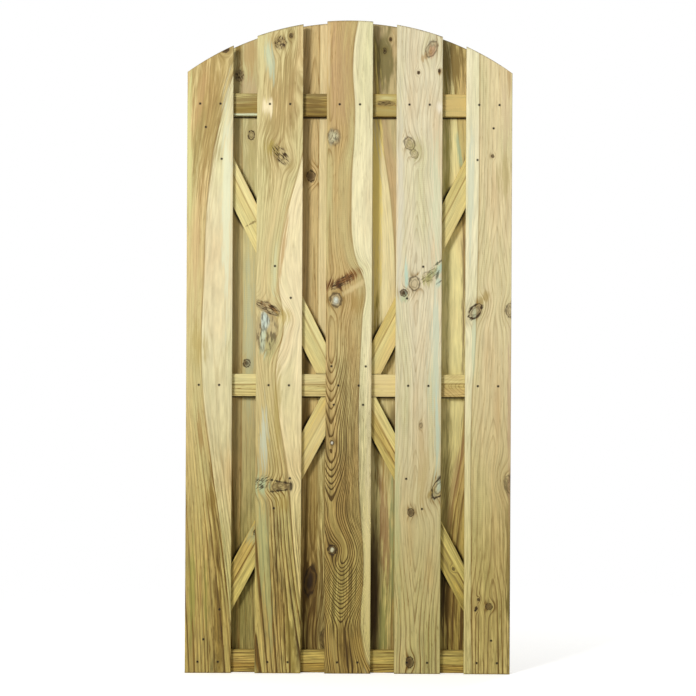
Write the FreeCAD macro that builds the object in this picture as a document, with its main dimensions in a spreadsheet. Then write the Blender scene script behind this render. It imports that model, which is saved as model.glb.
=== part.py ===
import FreeCAD, Part
import math
import os
import Sketcher

# An arch-topped garden gate leaf, built hit and miss: upright boards stand on the front of three rails
# with gaps between them, and more of the same boards stand on the back and cover those gaps. Four
# diagonal braces lie between the rails, in the rails' own plane, and lean outwards from the middle rail.
# Square wire nails, driven below the surface, hold every board to the rails and the braces.
#
# The frame: X runs across the gate, Z is up, and the front faces -Y. The origin is on the ground, under
# the middle of the gate and of its thickness.

DRIVING_SIZES = [
    ("gate_height", 1800, "foot of the boards to the crown of the arch"),
    ("gate_width", 896, "outer edge to outer edge, and the length of the rails"),
    ("arch_rise", 144, "crown of the arch above its two outer corners"),
    ("board_width", 127, "face of a front or back board"),
    ("board_thickness", 18, "front and back boards"),
    ("rail_face", 62, "height of a rail, seen from the front"),
    ("rail_thickness", 28, "rails and braces, between the two layers of boards"),
    ("top_rail_drop", 87, "arch's outer corners down to the middle of the top rail"),
    ("middle_rail_height", 794, "middle of the middle rail above the ground"),
    ("brace_face", 62, "width of a brace, square to its length"),
    ("upper_brace_gap", 40, "between the two upper braces where they meet the middle rail"),
    ("lower_brace_gap", 11, "between the two lower braces where they meet the middle rail"),
    ("board_arris", 2, "rounding of the boards' long edges"),
    ("rail_arris", 1.5, "rounding of the rails' and braces' long edges"),
    ("nail_shank", 3, "width of a nail's square section"),
    ("nail_cover", 4, "timber left beyond a nail's tip in a rail or brace"),
    ("nail_tip", 3, "length of the tapered tip"),
    ("nail_tip_width", 1, "width left at the very tip"),
    ("nail_sink", 2, "how far a nail is driven below the board's face"),
    ("nail_clearance", 0.05, "gap all round a nail in its hole"),
    ("nail_spacing", 56, "between the two nails that hold a board to a rail"),
    ("brace_nail_spacing", 44, "across the board, between its two nails into a brace"),
    ("brace_nail_shift", 10, "middle of those two nails, from the board's middle to the gate's"),
    ("middle_nail_lift", 22, "middle board's nails into the braces, from the edge of the middle rail"),
]

FRONT_BOARDS = 5
BACK_BOARDS = FRONT_BOARDS - 1
MIDDLE_BOARD = FRONT_BOARDS // 2
RAILS = ("top", "middle", "bottom")
SIDES = {"left": -1, "right": 1}

# A brace is cut level at both ends. Its outer corner is at the end of the top or bottom rail, and its
# inner end stands on the middle rail beside the gate's middle. The level cut is the brace's face over
# the cosine of its lean, and the cut and the lean's run together fill the span between those two.
BRACE_LAYOUT = [
    ("{level}_brace_span", "(Sizes.gate_width - Sizes.{level}_brace_gap) / 2", "gate's edge to inner corner"),
    (
        "{level}_brace_cut",
        "Sizes.brace_face * ({level}_brace_rise"
        " * sqrt({level}_brace_span^2 + {level}_brace_rise^2 - Sizes.brace_face^2)"
        " - Sizes.brace_face * {level}_brace_span) / ({level}_brace_rise^2 - Sizes.brace_face^2)",
        "length of a brace's level cut",
    ),
    ("{level}_brace_run", "{level}_brace_span - {level}_brace_cut", "how far a brace leans over its rise"),
    ("{level}_brace_end", "(Sizes.gate_width - {level}_brace_cut) / 2", "middle of a brace's outer cut"),
    (
        "{level}_middle_nail",
        "(Sizes.{level}_brace_gap / 2 + Sizes.middle_nail_lift * {level}_brace_run / {level}_brace_rise"
        " + Sizes.board_width / 2) / 2",
        "from the gate's middle, halfway from a brace's inner edge to the middle board's edge",
    ),
]

WORKED_OUT_SIZES = [
    ("board_pitch", f"(Sizes.gate_width - Sizes.board_width) / {FRONT_BOARDS - 1}", "board to board"),
    ("arch_radius", "((Sizes.gate_width / 2)^2 + Sizes.arch_rise^2) / (2 * Sizes.arch_rise)", "arch"),
    ("arch_centre", "Sizes.gate_height - arch_radius", "middle of the arch's circle above the ground"),
    (
        "top_rail",
        "Sizes.gate_height - Sizes.arch_rise - Sizes.top_rail_drop",
        "middle of the top rail above the ground",
    ),
    ("middle_rail", "Sizes.middle_rail_height", "middle of the middle rail above the ground"),
    ("bottom_rail", "Sizes.rail_face / 2", "middle of the bottom rail, which is flush with the boards' feet"),
    ("upper_brace_rise", "top_rail - middle_rail - Sizes.rail_face", "rail to rail"),
    ("lower_brace_rise", "middle_rail - bottom_rail - Sizes.rail_face", "rail to rail"),
    ("head_height", "Sizes.board_thickness - Sizes.nail_sink", "a nail's head above the rail or brace"),
    ("nail_bite", "Sizes.rail_thickness - Sizes.nail_cover", "a nail's tip below the rail's or brace's face"),
    ("nail_length", "head_height + nail_bite", "head to tip"),
] + [
    tuple(text.format(level=level) for text in row)
    for level in ("upper", "lower")
    for row in BRACE_LAYOUT
]

HOLE_WIDTH = "(Sizes.nail_shank + 2 * Sizes.nail_clearance)"
HOLE_DEPTH = "(Layout.nail_bite + Sizes.nail_clearance)"


# The document and its sheets of driving and worked-out sizes

doc = FreeCAD.newDocument("GardenGate")
sizes = doc.addObject("Spreadsheet::Sheet", "Sizes")
for row, (alias, number, meaning) in enumerate(DRIVING_SIZES, 1):
    sizes.set(f"A{row}", meaning)
    sizes.set(f"B{row}", str(number))
    sizes.setAlias(f"B{row}", alias)
layout = doc.addObject("Spreadsheet::Sheet", "Layout")
for row, (alias, formula, meaning) in enumerate(WORKED_OUT_SIZES, 1):
    layout.set(f"A{row}", meaning)
    layout.setAlias(f"B{row}", alias)
    layout.set(f"B{row}", f"={formula}")
doc.recompute()


def value(expression):
    return float(sizes.evalExpression(expression))


# Where the pieces and their nails are, as expressions

def front_board_middle(number):
    return f"({number} * Layout.board_pitch - (Sizes.gate_width - Sizes.board_width) / 2)"


def back_board_middle(number):
    return f"({front_board_middle(number)} + Layout.board_pitch / 2)"


class Brace:
    """One diagonal brace, on the left or the right, above or below the middle rail."""

    def __init__(self, level, side):
        self.label = f"{level}_{side}_brace"
        self.level = level
        self.side = SIDES[side]
        self.outwards = "+" if level == "upper" else "-"
        self.rise = f"Layout.{level}_brace_rise"
        self.cut = f"Layout.{level}_brace_cut"
        self.inner_z = f"(Layout.middle_rail {self.outwards} Sizes.rail_face / 2)"
        self.outer_z = f"({self.inner_z} {self.outwards} {self.rise})"

    def x(self, distance):
        """The x of a point that is so far from the gate's middle, on this brace's side."""
        return f"({self.side} * ({distance}))"

    def corners(self):
        outer = "Sizes.gate_width / 2"
        inner = f"Sizes.{self.level}_brace_gap / 2"
        return [
            (self.x(outer), self.outer_z),
            (self.x(f"{outer} - {self.cut}"), self.outer_z),
            (self.x(inner), self.inner_z),
            (self.x(f"{inner} + {self.cut}"), self.inner_z),
        ]

    def nails_through(self, board):
        """Two nails on the brace's middle line, through the outermost board (0) or the next one (1)."""
        spots = []
        for sign in "+-":
            inwards = f"Sizes.brace_nail_shift {sign} Sizes.brace_nail_spacing / 2"
            distance = f"(-{front_board_middle(board)} - ({inwards}))"
            drop = f"(Layout.{self.level}_brace_end - {distance}) / Layout.{self.level}_brace_run"
            inward_z = "-" if self.outwards == "+" else "+"
            spots.append((self.x(distance), f"({self.outer_z} {inward_z} {self.rise} * {drop})"))
        return spots

    def middle_board_nail(self):
        z = f"({self.inner_z} {self.outwards} Sizes.middle_nail_lift)"
        return self.x(f"Layout.{self.level}_middle_nail"), z


BRACES = [Brace(level, side) for level in ("upper", "lower") for side in SIDES]


def rail_nails(middle, rail):
    """The pair of nails that holds a board to a rail."""
    return [(f"({middle} {sign} Sizes.nail_spacing / 2)", f"Layout.{rail}_rail") for sign in "-+"]


def nails_along_rail(rail, board_middle, count):
    return [spot for number in range(count) for spot in rail_nails(board_middle(number), rail)]


def front_board_nails(number):
    spots = [spot for rail in RAILS for spot in rail_nails(front_board_middle(number), rail)]
    if number == MIDDLE_BOARD:
        return spots + [brace.middle_board_nail() for brace in BRACES]
    from_edge = min(number, FRONT_BOARDS - 1 - number)
    for brace in BRACES:
        if brace.side == math.copysign(1, number - MIDDLE_BOARD):
            spots += brace.nails_through(from_edge)
    return spots


def back_board_nails(number):
    return [spot for rail in RAILS for spot in rail_nails(back_board_middle(number), rail)]


# Steps that several pieces share

def new_body(label, y="0"):
    body = doc.addObject("PartDesign::Body", label)
    body.Label = label
    body.setExpression("Placement.Base.y", y)
    return body


def face_sketch(body, name, forward):
    """A sketch parallel to the gate's face, so far in front of the body's own zero: x across, y up."""
    sketch = body.newObject("Sketcher::SketchObject", f"{body.Name}_{name}")
    plane = next(feature for feature in body.Origin.OriginFeatures if feature.Role == "XZ_Plane")
    sketch.AttachmentSupport = [(plane, "")]
    sketch.MapMode = "FlatFace"
    sketch.setExpression("AttachmentOffset.Base.z", forward)
    return sketch


def hold(sketch, dimensions):
    """Adds dimensions to a sketch, each a kind, its two or four ends and the expression it is bound to."""
    constraints = [Sketcher.Constraint(kind, *ends, value(size)) for kind, ends, size in dimensions]
    first = sketch.ConstraintCount
    sketch.addConstraint(constraints)
    for index, (kind, ends, size) in enumerate(dimensions, first):
        sketch.setExpression(f"Constraints[{index}]", size)


def joined_ends(edges):
    pairs = zip(edges, edges[1:] + edges[:1])
    return [Sketcher.Constraint("Coincident", edge, 2, after, 1) for edge, after in pairs]


def draw_corners(sketch, corners):
    """A closed outline of straight lines through corners that are given as pairs of expressions."""
    points = [FreeCAD.Vector(value(x), value(z), 0) for x, z in corners]
    lines = [Part.LineSegment(start, end) for start, end in zip(points, points[1:] + points[:1])]
    edges = list(sketch.addGeometry(lines))
    sketch.addConstraint(joined_ends(edges))
    hold(sketch, [("DistanceX", (-1, 1, edge, 1), x) for edge, (x, z) in zip(edges, corners)])
    hold(sketch, [("DistanceY", (-1, 1, edge, 1), z) for edge, (x, z) in zip(edges, corners)])


def draw_rectangles(sketch, rectangles):
    """Upright rectangles, each given by the expressions of its left, right, lower and upper edges."""
    lines = []
    relations = []
    dimensions = []
    for left, right, lower, upper in rectangles:
        x0, x1, z0, z1 = [value(edge) for edge in (left, right, lower, upper)]
        corners = [FreeCAD.Vector(*corner) for corner in ((x0, z0), (x1, z0), (x1, z1), (x0, z1))]
        edges = [len(lines) + n for n in range(len(corners))]
        foot, right_side, head, left_side = edges
        lines += [Part.LineSegment(start, end) for start, end in zip(corners, corners[1:] + corners[:1])]
        relations += joined_ends(edges)
        relations += [Sketcher.Constraint("Horizontal", edge) for edge in (foot, head)]
        relations += [Sketcher.Constraint("Vertical", edge) for edge in (right_side, left_side)]
        dimensions += [
            ("DistanceX", (-1, 1, foot, 1), left),
            ("DistanceX", (-1, 1, head, 1), right),
            ("DistanceY", (-1, 1, foot, 1), lower),
            ("DistanceY", (-1, 1, head, 1), upper),
        ]
    sketch.addGeometry(lines)
    sketch.addConstraint(relations)
    hold(sketch, dimensions)


def draw_nails(sketch, spots, width):
    """The square sections of nails, or of their holes, at their spots."""
    half = f"{width} / 2"
    squares = [
        (f"{x} - {half}", f"{x} + {half}", f"{z} - {half}", f"{z} + {half}")
        for x, z in spots
    ]
    draw_rectangles(sketch, squares)


def draw_arched_board(sketch, left, right):
    """A board's outline: square foot, upright edges, and a stretch of the gate's arch on top."""
    radius = value("Layout.arch_radius")
    centre = FreeCAD.Vector(0, value("Layout.arch_centre"), 0)
    feet = [FreeCAD.Vector(value(x), 0, 0) for x in (left, right)]
    angles = [math.acos(foot.x / radius) for foot in feet]
    tops = [centre + FreeCAD.Vector(math.cos(a), math.sin(a), 0) * radius for a in angles]
    circle = Part.Circle(centre, FreeCAD.Vector(0, 0, 1), radius)
    foot = sketch.addGeometry(Part.LineSegment(feet[0], feet[1]))
    right_edge = sketch.addGeometry(Part.LineSegment(feet[1], tops[1]))
    arch = sketch.addGeometry(Part.ArcOfCircle(circle, angles[1], angles[0]))
    left_edge = sketch.addGeometry(Part.LineSegment(tops[0], feet[0]))
    sketch.addConstraint(joined_ends([foot, right_edge, arch, left_edge]) + [
        Sketcher.Constraint("Vertical", right_edge),
        Sketcher.Constraint("Vertical", left_edge),
        Sketcher.Constraint("PointOnObject", foot, 1, -1),
        Sketcher.Constraint("PointOnObject", foot, 2, -1),
        Sketcher.Constraint("PointOnObject", arch, 3, -2),
    ])
    hold(sketch, [
        ("DistanceX", (-1, 1, foot, 1), left),
        ("DistanceX", (-1, 1, foot, 2), right),
        ("DistanceY", (-1, 1, arch, 3), "Layout.arch_centre"),
        ("Radius", (arch,), "Layout.arch_radius"),
    ])


def pad(body, sketch, thickness, backwards=False):
    feature = body.newObject("PartDesign::Pad", f"{body.Name}_pad")
    feature.Profile = sketch
    feature.setExpression("Length", thickness)
    feature.Reversed = backwards
    doc.recompute()
    return feature


def ease_long_edges(body, timber, radius):
    """Rounds the four edges that run the length of a piece of timber."""
    edges = timber.Shape.Edges
    longest = max(edge.Length for edge in edges)
    fillet = body.newObject("PartDesign::Fillet", f"{body.Name}_arrises")
    fillet.Base = (timber, [f"Edge{n}" for n, edge in enumerate(edges, 1) if edge.Length > longest / 2])
    fillet.setExpression("Radius", radius)
    doc.recompute()


def cut_nail_holes(body, face, spots, forward, depth, from_back=False):
    """Nail holes at spots on one face: as deep as a board is thick, or blind in a rail or brace."""
    sketch = face_sketch(body, f"{face}_nail_spots", forward)
    draw_nails(sketch, spots, HOLE_WIDTH)
    before = body.Shape.Volume
    pocket = body.newObject("PartDesign::Pocket", f"{body.Name}_{face}_nail_holes")
    pocket.Profile = sketch
    pocket.setExpression("Length", depth)
    pocket.Reversed = from_back
    doc.recompute()
    expected = len(spots) * value(HOLE_WIDTH) ** 2 * value(depth)
    if not math.isclose(before - body.Shape.Volume, expected, rel_tol=0.01):
        raise ValueError(f"the {face} nail holes in {body.Label} aren't cut to their depth")


# Boards

def make_board(label, middle, spots, on_back=False):
    body = new_body(label, f"{'' if on_back else '-'}Sizes.rail_thickness / 2")
    outline = face_sketch(body, "outline", "0")
    half = "Sizes.board_width / 2"
    draw_arched_board(outline, f"({middle} - {half})", f"({middle} + {half})")
    timber = pad(body, outline, "Sizes.board_thickness", backwards=on_back)
    ease_long_edges(body, timber, "Sizes.board_arris")
    outer_face = f"{'-' if on_back else ''}Sizes.board_thickness"
    cut_nail_holes(body, "outer", spots, outer_face, "Sizes.board_thickness", from_back=on_back)
    return body


def make_boards():
    fronts = [
        make_board(f"front_board_{n + 1}", front_board_middle(n), front_board_nails(n))
        for n in range(FRONT_BOARDS)
    ]
    backs = [
        make_board(f"back_board_{n + 1}", back_board_middle(n), back_board_nails(n), on_back=True)
        for n in range(BACK_BOARDS)
    ]
    return fronts + backs


# Rails and braces

def make_bar(label, draw_outline, front_spots, back_spots=()):
    """A rail or brace, blind nail holes and all. draw_outline draws its shape in a sketch."""
    body = new_body(label)
    outline = face_sketch(body, "outline", "-Sizes.rail_thickness / 2")
    draw_outline(outline)
    timber = pad(body, outline, "Sizes.rail_thickness")
    ease_long_edges(body, timber, "Sizes.rail_arris")
    cut_nail_holes(body, "front", front_spots, "Sizes.rail_thickness / 2", HOLE_DEPTH)
    if back_spots:
        cut_nail_holes(body, "back", back_spots, "-Sizes.rail_thickness / 2", HOLE_DEPTH, from_back=True)
    return body


def make_rail(rail):
    left, right = [f"{side} * Sizes.gate_width / 2" for side in SIDES.values()]
    lower, upper = [f"Layout.{rail}_rail {sign} Sizes.rail_face / 2" for sign in "-+"]
    front_spots = nails_along_rail(rail, front_board_middle, FRONT_BOARDS)
    back_spots = nails_along_rail(rail, back_board_middle, BACK_BOARDS)

    def draw_outline(sketch):
        draw_rectangles(sketch, [(left, right, lower, upper)])

    return make_bar(f"{rail}_rail", draw_outline, front_spots, back_spots)


def make_brace(brace):
    spots = brace.nails_through(0) + brace.nails_through(1) + [brace.middle_board_nail()]

    def draw_outline(sketch):
        draw_corners(sketch, brace.corners())

    return make_bar(brace.label, draw_outline, spots)


# Nails

def make_nails(label, spots, on_back=False):
    """A set of nails, drawn at their heads, run to their tips and tapered there."""
    body = new_body(label, f"{'' if on_back else '-'}Sizes.rail_thickness / 2")
    heads = face_sketch(body, "heads", f"{'-' if on_back else ''}Layout.head_height")
    draw_nails(heads, spots, "Sizes.nail_shank")
    shanks = pad(body, heads, "Layout.nail_length", backwards=not on_back)
    tip_y = shanks.Shape.BoundBox.YMin if on_back else shanks.Shape.BoundBox.YMax
    tip_edges = [
        f"Edge{n}"
        for n, edge in enumerate(shanks.Shape.Edges, 1)
        if all(math.isclose(vertex.Y, tip_y, abs_tol=1e-6) for vertex in edge.Vertexes)
    ]
    taper = body.newObject("PartDesign::Chamfer", f"{label}_tips")
    taper.Base = (shanks, tip_edges)
    taper.ChamferType = "Two distances"
    taper.setExpression("Size", "Sizes.nail_tip")
    taper.setExpression("Size2", "(Sizes.nail_shank - Sizes.nail_tip_width) / 2")
    doc.recompute()
    return body


def make_all_nails():
    sets = []
    for rail in RAILS:
        fronts = nails_along_rail(rail, front_board_middle, FRONT_BOARDS)
        backs = nails_along_rail(rail, back_board_middle, BACK_BOARDS)
        sets.append(make_nails(f"{rail}_rail_front_nails", fronts))
        sets.append(make_nails(f"{rail}_rail_back_nails", backs, on_back=True))
    for brace in BRACES:
        sets.append(make_nails(f"{brace.label}_nails", brace.nails_through(0) + brace.nails_through(1)))
    sets.append(make_nails("middle_board_brace_nails", [brace.middle_board_nail() for brace in BRACES]))
    return sets


pieces = make_boards()
pieces += [make_rail(rail) for rail in RAILS]
pieces += [make_brace(brace) for brace in BRACES]
pieces += make_all_nails()
doc.recompute()

for item in doc.Objects:
    if "Invalid" in item.State or "Error" in item.State:
        raise ValueError(f"{item.Label} did not compute: {item.State}")
for piece in pieces:
    if piece.Shape.isNull() or not piece.Shape.isValid():
        raise ValueError(f"{piece.Label} has no valid shape")

os.makedirs("parts", exist_ok=True)
for piece in pieces:
    piece.Shape.exportStep(f"parts/{piece.Label}.step")
    box = piece.Shape.BoundBox
    reach = [round(length, 1) for length in (box.XLength, box.YLength, box.ZLength)]
    print(piece.Label, len(piece.Shape.Solids), "solids", reach)
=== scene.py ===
"""Dresses a garden gate leaf: sawn pine boards, rails and braces with grain and knots, and driven nails."""

import math
from typing import NamedTuple

import bpy
import numpy as np
from bpy.props import FloatProperty, FloatVectorProperty, PointerProperty
from mathutils import Matrix, Vector


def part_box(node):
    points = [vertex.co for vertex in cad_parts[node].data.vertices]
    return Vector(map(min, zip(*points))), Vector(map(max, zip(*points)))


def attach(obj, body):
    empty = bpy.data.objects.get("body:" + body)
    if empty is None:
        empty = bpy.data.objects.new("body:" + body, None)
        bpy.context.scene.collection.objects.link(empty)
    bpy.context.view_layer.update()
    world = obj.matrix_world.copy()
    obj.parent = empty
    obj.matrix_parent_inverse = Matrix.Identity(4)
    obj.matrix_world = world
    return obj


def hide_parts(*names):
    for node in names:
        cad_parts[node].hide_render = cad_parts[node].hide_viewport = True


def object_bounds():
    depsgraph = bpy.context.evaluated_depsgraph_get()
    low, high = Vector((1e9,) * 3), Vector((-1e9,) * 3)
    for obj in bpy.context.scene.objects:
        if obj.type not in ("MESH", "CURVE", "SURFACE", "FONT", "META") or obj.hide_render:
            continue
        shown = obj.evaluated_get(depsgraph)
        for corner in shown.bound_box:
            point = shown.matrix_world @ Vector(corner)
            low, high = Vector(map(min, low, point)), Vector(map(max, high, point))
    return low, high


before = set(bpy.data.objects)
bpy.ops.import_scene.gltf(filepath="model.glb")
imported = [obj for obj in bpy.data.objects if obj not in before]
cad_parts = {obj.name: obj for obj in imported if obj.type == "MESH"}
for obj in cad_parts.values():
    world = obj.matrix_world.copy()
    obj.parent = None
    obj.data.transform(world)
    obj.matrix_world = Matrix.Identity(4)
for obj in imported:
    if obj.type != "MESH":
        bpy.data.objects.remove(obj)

bl_info = {
    "name": "Sawn Pine Gate",
    "version": (1, 0, 0),
    "blender": (4, 5, 0),
    "location": "3D View > Sidebar > Gate",
    "description": "Makes the boards, rails, braces and nails of an arched garden gate leaf",
    "category": "Add Mesh",
}

MM = 0.001
CAD_LOW, CAD_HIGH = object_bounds()
FRONT_BOARDS = [f"front_board_{number}" for number in range(1, 6)]
BACK_BOARDS = [f"back_board_{number}" for number in range(1, 5)]
RAILS = ["top_rail", "middle_rail", "bottom_rail"]
BRACES = ["upper_left_brace", "upper_right_brace", "lower_left_brace", "lower_right_brace"]
NAIL_GROUPS = sorted(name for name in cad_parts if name.endswith("_nails"))


def linear(code):
    """The linear colour of an sRGB hex value."""
    shares = [int(code[place:place + 2], 16) / 255 for place in (1, 3, 5)]
    return tuple(s / 12.92 if s <= 0.04045 else ((s + 0.055) / 1.055) ** 2.4 for s in shares)


def rgba(code):
    """The linear colour of an sRGB hex value, with full cover."""
    return (*linear(code), 1.0)


# The timber: what each piece was cut from, with places in mm of the gate's frame

class Knot(NamedTuple):
    """A branch end on a board's face: its size, its look and how it bends the grain.

    The shade is how dark its wood is, the rim how dark its outline is, and rough how much torn bark it has.
    The bend is how far the grain swerves round it, and the lift how far it draws the rings along.
    A slant above 0 leans right.
    """
    across: float
    up: float
    radius: float
    shade: float = 0.5
    stretch: float = 1.3
    slant: float = 0.0
    rim: float = 0.9
    rough: float = 0.3
    bend: float = 0.7
    lift: float = 12.0


class Stain(NamedTuple):
    """A patch of colour: stains left by resin, bark, water and the treatment, and on the back boards painted
    shade and painted light; a slant above 0 leans right.

    A wash darkens the grain and doesn't cover it. Painted shade on the face has a smooth edge and isn't deep.
    """
    across: float
    up: float
    half_width: float
    half_height: float
    tint: str
    strength: float = 0.6
    slant: float = 0.0
    wash: bool = False
    shade_on_face: bool = False


class Flame(NamedTuple):
    """A run of a board where the rings nest like arrowheads, pointing up if the climb is above 0.

    The drift is how far the grain has moved to the right from the run's top down.
    """
    low: float
    high: float
    climb: float
    drift: float = 0.0


class Timber(NamedTuple):
    """One piece of pine: its colours, the edge of its heartwood from foot to top, its pith and its marks."""
    sapwood: str
    heartwood: str
    edge: tuple
    heart_side: int = -1
    pith_across: float = -60.0
    pith_depth: float = 40.0
    ring: float = 7.0
    narrowing: float = 0.0
    taper: float = 0.02
    contrast: float = 0.5
    streaks: float = 1.0
    wet_to: float = 800.0
    seed: float = 0.0
    flames: tuple = ()
    knots: tuple = ()
    stains: tuple = ()


DARK, UMBER, RUST, OLIVE = "#241706", "#3c2a12", "#8a5c22", "#a5923f"
GREEN, MINT, CREAM = "#a9b060", "#c5d6b6", "#f4e4b8"

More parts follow.
